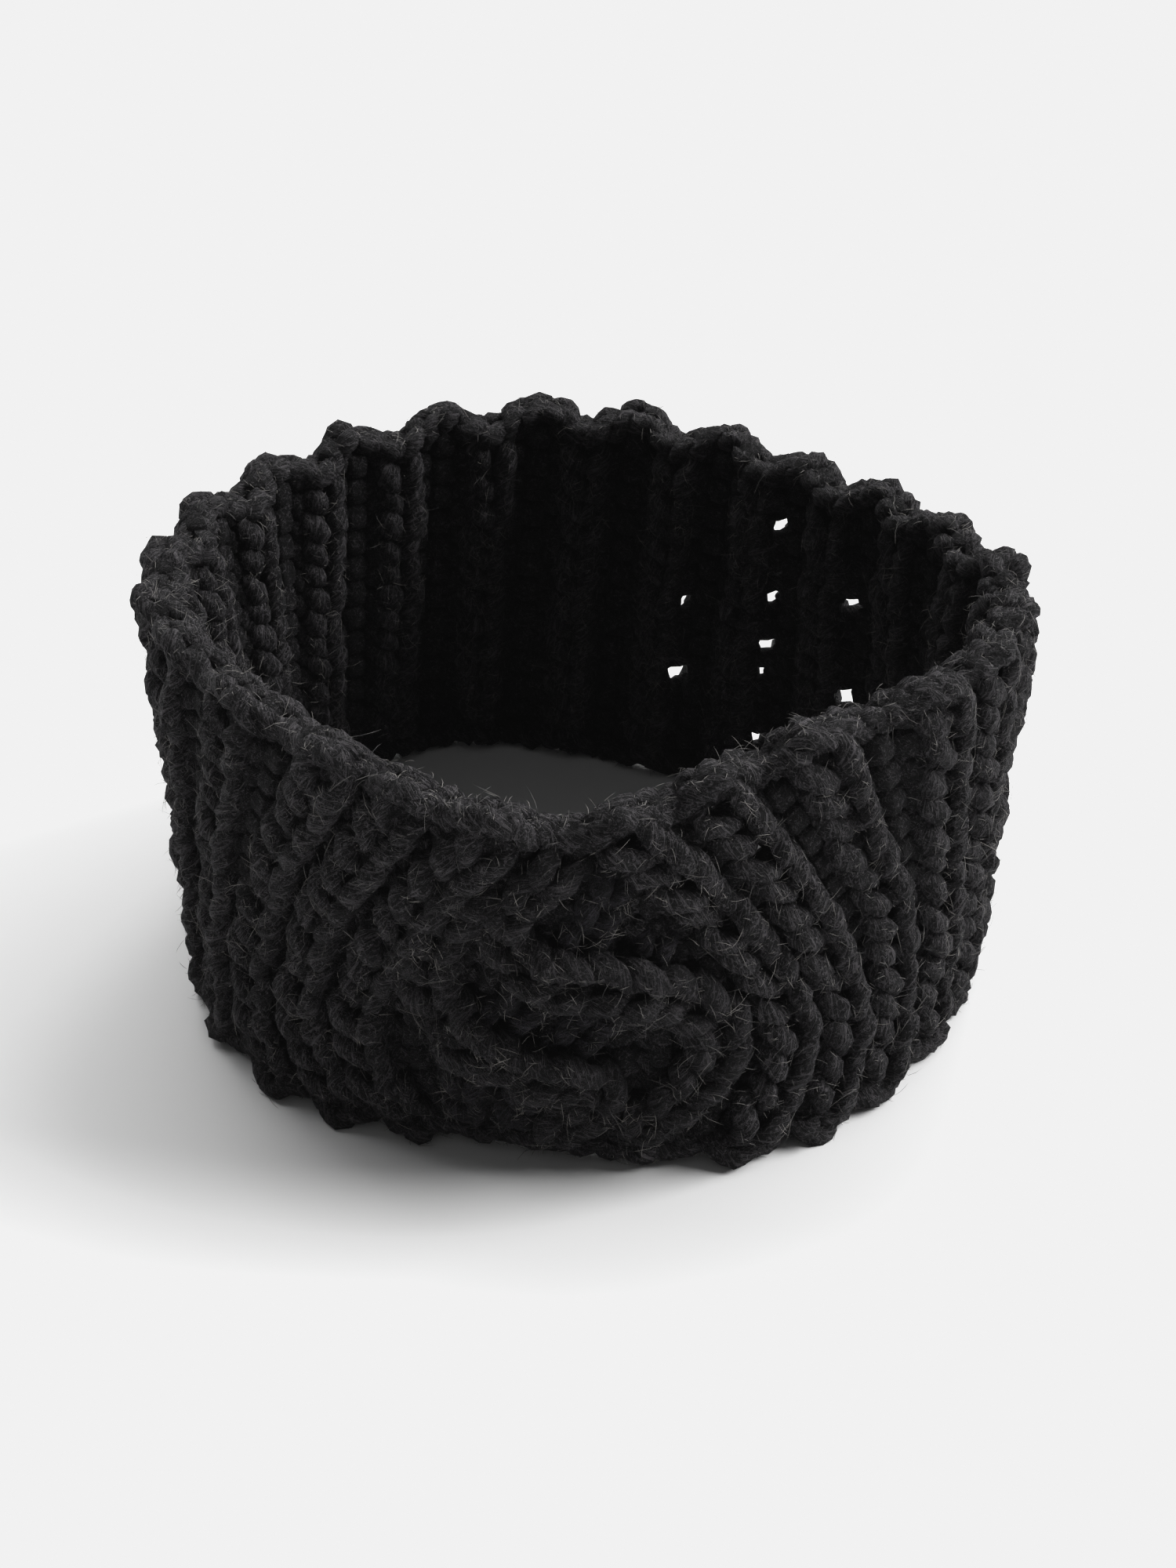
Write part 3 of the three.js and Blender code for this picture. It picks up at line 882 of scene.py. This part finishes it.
@dataclass
class RibbedBand:
    """The courses of the band: closed rings of loops, knitted on the ribs, purled between."""

    form: BandForm
    columns: Columns
    stitch: Stitch
    yarn: Yarn
    finish: bpy.types.Material
    rows: int = 12
    usual_spacing: float = 6.8
    widening: float = 0.5
    narrowest: float = 0.6
    widest: float = 1.4
    plumping: float = 0.12
    least_ground: float = 4.6
    unevenness: float = 0.36
    thickness_change: float = 0.08
    knit_width: float = 1.14
    purl_width: float = 0.84
    corrugation: float = 0.7  # knitted loops stand this much prouder, and purled ones sink as much
    tuft_span: tuple[float, ...] = (-0.68, -0.38, 0.0, 0.38, 0.68)  # in rows
    between_at: float = 0.84  # tufts between columns lie this far above a loop's middle, in rows
    inside_at: float = 0.2
    open_loop: float = 1.15
    tuft_radius: tuple[float, ...] = (2.7, 3.1, 2.7)
    tuft_sides: int = 6
    # where the knitting is left open: mm along the wall from the front, and share of the height
    holes: tuple[tuple[float, float], ...] = (
        (213.0, 0.76), (215.2, 0.67), (213.4, 0.61), (215.8, 0.48), (217.6, 0.39), (218.6, 0.18),
        (242.2, 0.55), (243.4, 0.34), (243.0, 0.28), (190.7, 0.64), (194.5, 0.36), (173.5, 0.46),
        (163.6, 0.84), (143.2, 0.75), (249.5, 0.94), (-211.2, 0.62), (-211.0, 0.55), (14.2, 0.86))
    opening_push: float = 1.3
    opening_reach: float = 4.5
    least_gap: float = 0.5  # nearer to an opening than this, its push weakens
    hole_reach: float = 1.0  # no tuft stands this close to an opening
    tuft_stretch: tuple[float, float] = (0.5, 1.6)
    tuft_growth: float = 0.7  # tufts thicken with this power of the stretch
    openings: np.ndarray = field(init=False)
    seed: int = 11
    slot: str = "rib_wool"
    node: str = "ribbed_band"

    def share(self, row: float | np.ndarray) -> float | np.ndarray:
        """How far up the columns the middle of a row lies."""
        return (self.stitch.reach + row) / (self.rows - 1 + 2 * self.stitch.reach)

    def course_keys(self, row: int, rng: np.random.Generator) -> np.ndarray:
        """The places that one course's yarn passes through.

        Each loop's places are laid off from its column: up by the row's share of the column's
        length and across by the column's own side, and the sinkers lie halfway between columns.

        Args:
            row: the row's number from the foot.
            rng: for the unevenness of hand knitting.

        Returns:
            X, Y, Z, the way out, thickness and how far the place faces out, for each place.
        """
        columns = self.columns.present(float(self.share(row)), self.least_ground)
        faces = self.columns.faces[columns]
        shapes = np.where(
            (faces > 0)[:, None, None], self.stitch.keys()[None], self.stitch.turned()[None])
        share = self.share(row + shapes[..., 1])
        place, side = self.columns.read(columns[:, None], share)
        before = np.roll(columns, 1)
        beside, _ = self.columns.read(before, share[:, 0])
        beside[0, 0] -= self.form.girth
        middle = place[:, 2, 0]
        onward = np.roll(middle, -1)
        onward[-1] += self.form.girth
        behind = np.roll(middle, 1)
        behind[0] -= self.form.girth
        stretch = (onward - behind) / 2 / self.usual_spacing
        wide = np.clip(stretch**self.widening, self.narrowest, self.widest)
        wide *= np.where(faces > 0, self.knit_width, self.purl_width)
        flat = np.empty((len(columns), 8, 3))
        flat[..., :2] = place + side * (shapes[..., :1] * wide[:, None, None])
        flat[:, 0, :2] = (place[:, 0] + beside) / 2
        flat[..., 2] = shapes[..., 2]
        flat[:, 1:, 2] += self.corrugation * faces[:, None]
        flat = self.spread_open(flat)
        flat += rng.normal(0.0, self.unevenness, flat.shape)
        flat += rng.normal(0.0, self.unevenness, (len(columns), 1, 3))
        change = self.thickness_change * drift(rng, shapes[..., 3].size, 12).reshape(-1, 8)
        plump = 1 + self.plumping * np.clip(stretch - 1, 0.0, 1.0)
        thick = shapes[..., 3] * (1 + change) * plump[:, None]
        facing = np.clip(flat[..., 2] / self.stitch.relief, -1.0, 1.0)
        keys = np.concatenate([self.form.place(flat), thick[..., None], facing[..., None]], axis=-1)
        return keys.reshape(-1, 8)

    def find_openings(self) -> None:
        """Move each hole of the list to the nearest gap between two columns and two courses."""
        gaps = np.concatenate([self.tuft_lines(row, True)[0][:, 2] for row in range(-1, self.rows)])
        share = gaps[:, 1] / self.form.rim_height(gaps[:, 0])
        holes = np.array(self.holes)
        sideways = self.around(gaps[:, None, 0] - holes[:, 0])
        upward = (share[:, None] - holes[:, 1]) * self.form.height
        nearest = np.hypot(sideways, upward).argmin(axis=0)
        self.openings = gaps[nearest, :2]

    def around(self, along: np.ndarray) -> np.ndarray:
        """Distances along the wall, taken the shorter way round."""
        return along - self.form.girth * np.round(along / self.form.girth)

    def spread_open(self, flat: np.ndarray) -> np.ndarray:
        """Push places away from the openings, by opening_push · exp(-(distance / reach)^2).

        Args:
            flat: along the wall, height and how far proud of the wall's middle, in the last axis.

        Returns:
            The moved places.
        """
        away = flat[..., None, :2] - self.openings
        away[..., 0] = self.around(away[..., 0])
        gap = np.linalg.norm(away, axis=-1, keepdims=True)
        push = self.opening_push * np.exp(-((gap / self.opening_reach) ** 2))
        moved = flat.copy()
        moved[..., :2] += (away / np.maximum(gap, self.least_gap) * push).sum(axis=-2)
        return moved

    def tuft_lines(self, row: int, between: bool) -> tuple[np.ndarray, np.ndarray]:
        """Short upright lines beside one row of loops: between the columns or inside the loops.

        Args:
            row: the row's number from the foot.
            between: True for the lines between columns, False for those on a column's middle.

        Returns:
            The places of each line, flat, and how much the fabric is stretched there.
        """
        columns = self.columns.present(float(self.share(max(row, 0))), self.least_ground)
        span = np.array(self.tuft_span) + (self.between_at if between else self.inside_at)
        share = np.broadcast_to(self.share(row + span), (len(columns), len(span)))
        place, _ = self.columns.read(columns[:, None], share)
        beside, _ = self.columns.read(np.roll(columns, 1)[:, None], share)
        beside[0, :, 0] -= self.form.girth
        flat = np.zeros((*share.shape, 3))
        flat[..., :2] = (place + beside) / 2 if between else place
        flat[..., 1] += (share - np.clip(share, 0.0, 1.0)) * self.form.height
        stretch = (place - beside)[:, 2, 0] / self.usual_spacing
        kept = stretch > (0.0 if between else self.open_loop)
        return flat[kept], stretch[kept]

    def mat_gaps(self) -> None:
        """Fill the gaps between the loops with matted wool, but for the few that stay open."""
        order = range(-1, self.rows)
        rows = [self.tuft_lines(row, between) for between in (True, False) for row in order]
        flat = np.concatenate([lines for lines, _ in rows])
        stretch = np.concatenate([share for _, share in rows])
        away = flat[:, 2, None, :2] - self.openings
        gap = np.hypot(self.around(away[..., 0]), away[..., 1]).min(axis=1)
        kept = gap > self.hole_reach
        placed = self.form.place(self.spread_open(flat[kept]))
        wide = np.clip(stretch[kept], *self.tuft_stretch) ** self.tuft_growth
        thick = wide[:, None] * np.array(self.tuft_radius)
        points, faces = needles(placed[..., :3], thick, placed[:, 2, 3:], self.tuft_sides)
        points = above_floor(points)
        piece = new_piece("matted_tufts", points, faces.ravel(), np.full(len(faces), 3), points)
        piece.data.materials.append(self.finish)
        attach(piece, BODY)
        LOG.info("matted_tufts: %d tufts", kept.sum())

    def build(self) -> list[Strand]:
        """Knit every course as a piece of its own, and mat the gaps.

        Returns:
            The courses' yarn, from the foot up.
        """
        self.find_openings()
        rng = np.random.default_rng(self.seed)
        strands = []
        for row in range(self.rows):
            strand = self.yarn.sweep(self.course_keys(row, rng), True, rng)
            yarn_piece(f"knit_course_{row + 1:02d}", strand, self.finish, (self.node,))
            strands.append(strand)
        self.mat_gaps()
        return strands


@dataclass(frozen=True)
class CableRoute:
    """Where one rib of the cable runs, from the rim to the foot."""

    name: str
    node: str
    slot: str
    # across in shares of half the cable's width, up in shares of the height, share of full width
    path: tuple[tuple[float, float, float], ...]
    over: bool


OVER_UPPER = CableRoute("over_upper_chain", "cable_rib_over_upper", "cable_wool", (
    (-0.03, 0.885, 0.5), (-0.12, 0.83, 0.58), (-0.25, 0.75, 0.62), (-0.31, 0.66, 0.72),
    (-0.16, 0.585, 0.95), (0.1, 0.56, 1.0), (0.36, 0.5, 1.0), (0.55, 0.42, 1.0),
    (0.61, 0.33, 0.95), (0.49, 0.23, 0.8), (0.33, 0.16, 0.7), (0.18, 0.08, 0.6)), True)
OVER_LOWER = CableRoute("over_lower_chain", "cable_rib_over_lower", "cable_wool", (
    (-0.38, 0.8, 0.55), (-0.5, 0.71, 0.7), (-0.61, 0.59, 0.85), (-0.65, 0.47, 1.0),
    (-0.49, 0.36, 1.0), (-0.24, 0.3, 1.0), (0.0, 0.28, 0.85), (0.11, 0.23, 0.7),
    (0.05, 0.17, 0.66), (-0.08, 0.12, 0.6), (-0.17, 0.06, 0.55)), True)
# the two ribs that pass behind take the darker wool of painted shade
UNDER_LEFT = CableRoute("under_left_chain", "cable_rib_under_left", "shaded_wool", (
    (0.2, 0.84, 0.7), (0.02, 0.66, 1.0), (-0.22, 0.48, 1.0), (-0.46, 0.32, 1.0),
    (-0.53, 0.18, 0.9), (-0.46, 0.06, 0.7)), False)
UNDER_RIGHT = CableRoute("under_right_chain", "cable_rib_under_right", "shaded_wool", (
    (0.38, 0.66, 0.65), (0.27, 0.56, 1.0), (0.05, 0.41, 1.0), (-0.14, 0.29, 1.0),
    (-0.25, 0.17, 0.8), (-0.3, 0.06, 0.6)), False)


@dataclass
class Cable:
    """The four ribs that cross at the front: chains of loops laid over the plain ground."""

    form: BandForm
    stitch: Stitch
    yarn: Yarn
    finishes: dict[str, bpy.types.Material]
    routes: tuple[CableRoute, ...] = (UNDER_LEFT, UNDER_RIGHT, OVER_UPPER, OVER_LOWER)
    half_width: float = 47.0
    row: float = 7.4
    over_scale: float = 1.35
    under_scale: float = 1.0
    over_thickness: float = 1.12
    over_rest: float = 0.9
    under_rest: float = -0.9
    crossing_lift: float = 3.3
    under_width: float = 9.5
    lift_reach: float = 1.7
    end_slope: float = 9.0
    end_sink: float = 3.0
    path_steps: int = 400
    path_every: int = 4  # every so many places of a rib below are enough to find it by
    link_thickness: float = 0.96
    narrow_thickness: float = 0.82  # the yarn's thickness where the rib has no width
    width_thickness: float = 0.18  # what the rib's full width adds to it
    unevenness: float = 0.2
    seed: int = 23

    def flat_path(self, route: CableRoute) -> np.ndarray:
        """Divide a route evenly from the foot to the rim.

        Args:
            route: the rib's route.

        Returns:
            Along, height and share of the full width, row by row.
        """
        rows = np.array(route.path)[::-1]
        along = rows[:, 0] * self.half_width
        height = rows[:, 1] * self.form.rim_height(along)
        return even_curve(np.stack([along, height, rows[:, 2]], axis=1), self.path_steps)

    def lift(self, flat: np.ndarray, below: list[np.ndarray]) -> np.ndarray:
        """Work out how far places are raised where they pass over the ribs below.

        It is the crossing lift, eased off with a smoothstep by the distance to the nearest of
        the lines below.

        Args:
            flat: places, of which along and height count.
            below: the paths of the ribs below.

        Returns:
            The lift of each place, in mm.
        """
        lines = np.vstack(below)[::self.path_every, :2]
        gap = np.linalg.norm(flat[:, None, :2] - lines[None], axis=2).min(axis=1)
        half = self.under_width / 2
        return self.crossing_lift * (1.0 - smoothstep(gap, half, half * self.lift_reach))

    def chain_keys(
        self, route: CableRoute, below: list[np.ndarray], rng: np.random.Generator
    ) -> np.ndarray:
        """The places that a chain of loops passes through along a route.

        The yarn goes up each loop and down again, and crosses to the next behind it.

        Args:
            route: the rib's route.
            below: the paths of the ribs that it passes over.
            rng: for the unevenness of hand knitting.

        Returns:
            X, Y, Z, the way out, thickness and how far the place faces out, for each place.
        """
        path = self.flat_path(route)
        length = np.hypot(*np.diff(path[:, :2], axis=0).T).sum()
        loops = round(length / self.row)
        shape = self.stitch.keys()
        shape[0, 0] = -self.stitch.left_neck
        link = np.array([[self.stitch.left_neck, -self.stitch.reach, 0.0, self.link_thickness]])
        shape = np.vstack([shape, link])
        span = loops - 1 + 2 * self.stitch.reach
        share = (self.stitch.reach + np.arange(loops)[:, None] + shape[None, :, 1]) / span
        share = share.reshape(-1)
        at = np.clip(share, 0.0, 1.0) * (self.path_steps - 1)
        spots = np.arange(self.path_steps)
        place = read_rows(at, spots, path)
        tangent = unit(np.gradient(path[:, :2], axis=0))
        turned = np.stack([tangent[:, 1], -tangent[:, 0]], axis=1)
        side = read_rows(at, spots, turned)
        offset = np.tile(shape, (loops, 1))
        scale = (self.over_scale if route.over else self.under_scale) * place[:, 2:3]
        flat = np.empty((len(at), 3))
        flat[:, :2] = place[:, :2] + side * offset[:, :1] * scale
        to_end = np.minimum(share, 1 - share) * length / self.end_slope
        sink = self.end_sink * (1.0 - np.sin(np.pi / 2 * np.clip(to_end, 0.0, 1.0)))
        flat[:, 2] = offset[:, 2] - sink + (self.over_rest if route.over else self.under_rest)
        if below:
            flat[:, 2] += self.lift(flat, below)
        flat += rng.normal(0.0, self.unevenness, flat.shape)
        plump = self.over_thickness if route.over else 1.0
        thick = offset[:, 3] * plump * (self.narrow_thickness + self.width_thickness * place[:, 2])
        facing = np.clip(offset[:, 2] / self.stitch.relief, 0.0, 1.0)
        return np.concatenate([self.form.place(flat), thick[:, None], facing[:, None]], axis=1)

    def build(self) -> list[Strand]:
        """Make the four chains, the two that pass behind first.

        Returns:
            The chains' yarn.
        """
        rng = np.random.default_rng(self.seed)
        below = [self.flat_path(route) for route in self.routes if not route.over]
        strands = []
        for route in self.routes:
            keys = self.chain_keys(route, below if route.over else [], rng)
            strand = self.yarn.sweep(keys, False, rng)
            yarn_piece(route.name, strand, self.finishes[route.slot], (route.node,))
            strands.append(strand)
        return strands


@dataclass
class EdgeChain:
    """The finished edge of the band: a chain of loops laid along the rim or the foot."""

    form: BandForm
    columns: Columns
    stitch: Stitch
    yarn: Yarn
    finish: bpy.types.Material
    edge: Edge
    loop_length: float = 6.0
    relief: float = 1.3
    half_width: float = 3.2
    weave: float = 1.7
    plumpness: float = 0.98
    unevenness: float = 0.5
    steps: int = 16
    overlap: int = 2  # columns taken again on both sides of the seam, so that it runs smoothly
    least_ground: float = 4.6
    slot: str = "rib_wool"
    node: str = "ribbed_band"

    def line(self) -> np.ndarray:
        """Draw the edge's line through every column that reaches it.

        Returns:
            Along, height and depth at each of these columns.
        """
        share = 1.0 if self.edge is Edge.RIM else 0.0
        columns = self.columns.present(share, self.least_ground)
        faces = self.columns.faces[columns]
        along = self.columns.paths[columns, -1 if self.edge is Edge.RIM else 0, 0]
        sunk = faces < 0
        inset = self.yarn.radius * self.plumpness + 2 * self.relief
        if self.edge is Edge.RIM:
            height = self.form.rim_height(along) - inset - self.columns.rim_scallop * sunk
        else:
            height = inset + self.columns.foot_scallop * sunk
        return np.stack([along, height, self.weave * faces], axis=1)

    def keys(self, rng: np.random.Generator) -> np.ndarray:
        """Set out the places that the edge's yarn passes through, loop after loop.

        The loops lie on their side along the edge: their width is the fabric's thickness, and
        they stand proud up from the rim or down from the foot.

        Args:
            rng: for the unevenness of hand knitting.

        Returns:
            X, Y, Z, the way out, thickness and how far the place faces out, for each place.
        """
        line = self.line()
        turn = np.arange(len(line) + 2 * self.overlap) - self.overlap
        lap = np.array([self.form.girth, 0.0, 0.0]) * np.floor_divide(turn, len(line))[:, None]
        dense = smooth_curve(line[np.mod(turn, len(line))] + lap, self.steps, closed=False)
        length = lengths_along(dense[:, 0], dense[:, 1])
        length -= length[self.overlap * self.steps]
        whole = length[(self.overlap + len(line)) * self.steps]
        count = round(whole / self.loop_length)
        pitch = whole / count
        shape = np.vstack([self.stitch.keys(), self.stitch.keys()[:1]])
        shape[:, 0] *= self.half_width / self.stitch.left_shoulder
        shape[:, 2] *= self.relief / self.stitch.relief
        at = pitch * (np.arange(count)[:, None] + shape[None, :, 1]).reshape(-1)
        flat = read_rows(at, length, dense)
        offset = np.tile(shape, (count, 1))
        flat[:, 2] += offset[:, 0]
        flat[:, 1] += offset[:, 2] * self.edge.value
        flat += rng.normal(0.0, self.unevenness, flat.shape)
        placed = self.form.place(flat)
        placed[:, 3:] = np.array([0.0, 0.0, float(self.edge.value)])
        thick = offset[:, 3:] * self.plumpness
        return np.concatenate([placed, thick, np.ones((len(flat), 1))], axis=1)

    def build(self, rng: np.random.Generator) -> Strand:
        """Make the edge's chain as one closed piece.

        Args:
            rng: for the unevenness and the lumps.

        Returns:
            The chain's yarn.
        """
        strand = self.yarn.sweep(self.keys(rng), True, rng)
        yarn_piece(f"{self.edge.name.lower()}_chain", strand, self.finish, (self.node,))
        return strand


@dataclass(frozen=True)
class Nap:
    """The loose fibres on the wool: each one is a thin three-sided needle, closed at both ends."""

    name: str
    count: int
    shortest: float
    longest: float
    thickness: float
    lift: float
    curl: float
    seed: int
    shares: tuple[float, ...] = (0.0, 0.3, 0.7, 1.0)  # where the places of a fibre lie
    settle: float = 0.8
    twist_angle: float = 0.5
    turn_spread: float = 0.6
    curl_limit: float = 1.5
    slide: float = 0.6  # how far along the yarn roots are moved, as a normal spread in mm
    root_depth: float = 0.25
    floor_gap: float = 0.02
    sides: int = 3

    def grow(self, strands: list[Strand], finish: bpy.types.Material) -> None:
        """Root fibres on the parts of the yarn that show.

        A fibre's line is root + length (t · start + t^2 · bend), where start leans off the yarn
        by the lift, and bend curls it sideways and settles it back towards the yarn.

        Args:
            strands: the yarn that they grow on.
            finish: the fibres' material.
        """
        rng = np.random.default_rng(self.seed)
        points = np.concatenate([strand.points.reshape(-1, 3) for strand in strands])
        normals = np.concatenate([strand.normals.reshape(-1, 3) for strand in strands])
        spread = [np.broadcast_to(s.tangents[:, None], s.points.shape).reshape(-1, 3) for s in strands]
        tangents = np.concatenate(spread)
        shown = np.concatenate([
            np.einsum("rsk,rk->rs", s.normals, s.facing).reshape(-1) for s in strands])
        chance = np.clip(shown, 0.0, None)
        pick = rng.choice(len(points), self.count, p=chance / chance.sum())
        root, normal, tangent = points[pick], normals[pick], tangents[pick]
        around = np.cross(normal, tangent)
        one = (self.count, 1)
        turn = self.twist_angle + rng.normal(0.0, self.turn_spread, one) + np.pi * rng.integers(0, 2, one)
        level = tangent * np.cos(turn) + around * np.sin(turn)
        lift = np.abs(rng.normal(self.lift, self.lift / 2, one))
        start = level * np.cos(lift) + normal * np.sin(lift)
        aside = np.cross(normal, level)
        curled = aside * self.curl * rng.uniform(-self.curl_limit, self.curl_limit, one)
        bend = curled - normal * (self.settle * np.sin(lift))
        length = self.shortest + (self.longest - self.shortest) * rng.random(one) ** 2
        root = root + tangent * rng.normal(0.0, self.slide, one) - normal * self.root_depth
        shares = np.array(self.shares)[None, :, None]
        line = root[:, None] + length[:, None] * (start[:, None] * shares + bend[:, None] * shares**2)
        thin = np.full((self.count, len(self.shares) - 2), self.thickness / 2)
        points, faces = needles(line, thin, bend + normal, self.sides)
        points = above_floor(points, self.floor_gap)
        piece = new_piece(self.name, points, faces.ravel(), np.full(len(faces), 3), None)
        piece.data.materials.append(finish)
        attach(piece, BODY)
        LOG.info("%s: %d fibres", self.name, self.count)


@dataclass(frozen=True)
class SoftLight:
    """One broad panel of light: its bearing from +X, its height in degrees and its strength."""

    name: str
    bearing: float
    height: float
    strength: float
    spread: float = 45.0

    def way(self) -> Vector:
        """Work out the way from the band to the light.

        Returns:
            A vector of length 1.
        """
        bearing, height = np.radians(self.bearing), np.radians(self.height)
        level = np.cos(height)
        return Vector((level * np.cos(bearing), level * np.sin(bearing), np.sin(height)))


@dataclass(frozen=True)
class Studio:
    """The pale floor, the soft light and the camera, which are not part of the headband."""

    floor_half: float = 12.0
    floor_colour: str = "f4f4f4"
    target: tuple[float, float, float] = (0.0015, -0.003, 0.0429)
    camera_place: tuple[float, float, float] = (0.0015, -0.5129, 0.3741)
    lens: float = 59.2
    sensor: float = 36.0
    panels: tuple[SoftLight, ...] = (
        SoftLight("right_panel", 11.0, 31.0, 4.0, 34.0),
        SoftLight("back_right_panel", 50.0, 44.0, 1.9),
        SoftLight("back_panel", 100.0, 48.0, 1.5),
        SoftLight("back_left_panel", 135.0, 42.0, 1.1),
    )
    sky_strength: float = 0.08
    haze: float = 0.0022  # light scattered in the lens lifts the blacks this much
    paper_white: float = 0.88  # the photograph's floor is this bright, in linear light
    knee: float = 0.72  # brighter light than this is drawn in towards the paper's white

    def build(self) -> None:
        """Set up the floor, the lights and the camera."""
        self.floor()
        self.lights()
        self.tone()
        self.camera()

    def floor(self) -> None:
        """Lay a matte, pale floor of painted board under the band."""
        half = self.floor_half
        mesh = bpy.data.meshes.new("floor")
        corners = [(-half, -half, 0.0), (half, -half, 0.0), (half, half, 0.0), (-half, half, 0.0)]
        mesh.from_pydata(corners, [], [(0, 1, 2, 3)])
        board = bpy.data.materials.new("painted_board")
        board.use_nodes = True
        shader = board.node_tree.nodes["Principled BSDF"]
        shader.inputs["Base Color"].default_value = linear(self.floor_colour)
        shader.inputs["Roughness"].default_value = 1.0
        shader.inputs["Specular IOR Level"].default_value = 0.0
        mesh.materials.append(board)
        piece = new_object("floor", mesh)

    def lights(self) -> None:
        """Panels of soft light round the band, the strongest on the right, and a faint white sky."""
        for panel in self.panels:
            light = bpy.data.lights.new(panel.name, "SUN")
            light.energy = panel.strength
            light.angle = float(np.radians(panel.spread))
            lamp = new_object(panel.name, light)
            lamp.rotation_euler = panel.way().to_track_quat("Z", "Y").to_euler()
        world = bpy.data.worlds.new("sky")
        world.use_nodes = True
        back = world.node_tree.nodes["Background"]
        back.inputs["Color"].default_value = (1.0, 1.0, 1.0, 1.0)
        back.inputs["Strength"].default_value = self.sky_strength
        bpy.context.scene.world = world

    def tone(self) -> None:
        """Print the overexposed floor as even paper white, as the photograph does."""
        view = bpy.context.scene.view_settings
        view.view_transform = "Standard"
        view.use_curve_mapping = True
        mapping = view.curve_mapping
        mapping.extend = "HORIZONTAL"
        points = mapping.curves[3].points
        points[0].location = (0.0, self.haze)
        points[1].location = (1.0, self.paper_white)
        points.new(self.knee, self.knee)
        for point in points:
            point.handle_type = "VECTOR"
        mapping.update()

    def camera(self) -> None:
        """Look down on the cable from the front, as the photograph does."""
        data = bpy.data.cameras.new("camera")
        data.lens = self.lens
        data.sensor_width = self.sensor
        data.clip_start = 0.01
        data.clip_end = 20.0
        eye = new_object("camera", data)
        eye.location = self.camera_place
        way = Vector(self.camera_place) - Vector(self.target)
        eye.rotation_euler = way.to_track_quat("Z", "Y").to_euler()
        bpy.context.scene.camera = eye


def main() -> None:
    """Build the headband, its loose fibres and the studio, in that order."""
    logging.basicConfig(level=logging.INFO, format="%(name)s %(message)s")
    form = BandForm()
    columns = Columns(form)
    stitch = Stitch()
    yarn = Yarn()
    finishes = {
        # the third colour of each wool is the painted highlight of its fibre lines
        "rib_wool": WoolFinish("black_wool_rib", "010101", "121113", "595659").material(),
        # painted shade: a darker copy of the wool for the ribs that pass behind the cable
        "shaded_wool": WoolFinish("black_wool_behind_painted_shade", "010101", "0d0c0f", "3c393f").material(),
        "cable_wool": WoolFinish("black_wool_cable", "010101", "111012", "4a474a").material(),
    }
    # painted highlight: the loose fibres are painted light grey for the light they catch
    glinting_fibre = FibreFinish("loose_wool_fibre_painted_glint", "2e2e30", "98948f").material()
    courses = RibbedBand(form, columns, stitch, yarn, finishes["rib_wool"]).build()
    crossed = Stitch(left_neck=0.9, right_neck=1.6, right_shoulder=3.8, proud_leg=0.2, upright=1.1)
    cable = Cable(form, crossed, yarn, finishes).build()
    rng = np.random.default_rng(EDGE_SEED)
    rim = EdgeChain(form, columns, stitch, yarn, finishes["rib_wool"], Edge.RIM).build(rng)
    foot = EdgeChain(form, columns, stitch, yarn, finishes["rib_wool"], Edge.FOOT).build(rng)
    edges = [rim, foot]
    # each kind's count, shortest, longest and thickness in mm, lift, curl and seed
    Nap("down_on_courses", 13000, 1.5, 3.5, 0.09, 0.35, 0.7, 41).grow(courses, glinting_fibre)
    Nap("curls_on_courses", 9000, 2.5, 6.0, 0.09, 0.3, 0.9, 42).grow(courses, glinting_fibre)
    Nap("curls_on_cable", 2400, 2.0, 5.5, 0.08, 0.25, 0.9, 43).grow(cable, glinting_fibre)
    Nap("curls_on_edges", 8000, 1.5, 4.0, 0.1, 0.45, 0.7, 44).grow(edges, glinting_fibre)
    flyaway = (0.0, 0.25, 0.5, 0.8, 1.0)
    Nap("flyaway_fibres", 3400, 3.0, 6.5, 0.08, 0.3, 0.8, 45, shares=flyaway, settle=0.5).grow(
        courses + cable + edges, glinting_fibre)
    Studio().build()


if __name__ == "__main__":
    main()
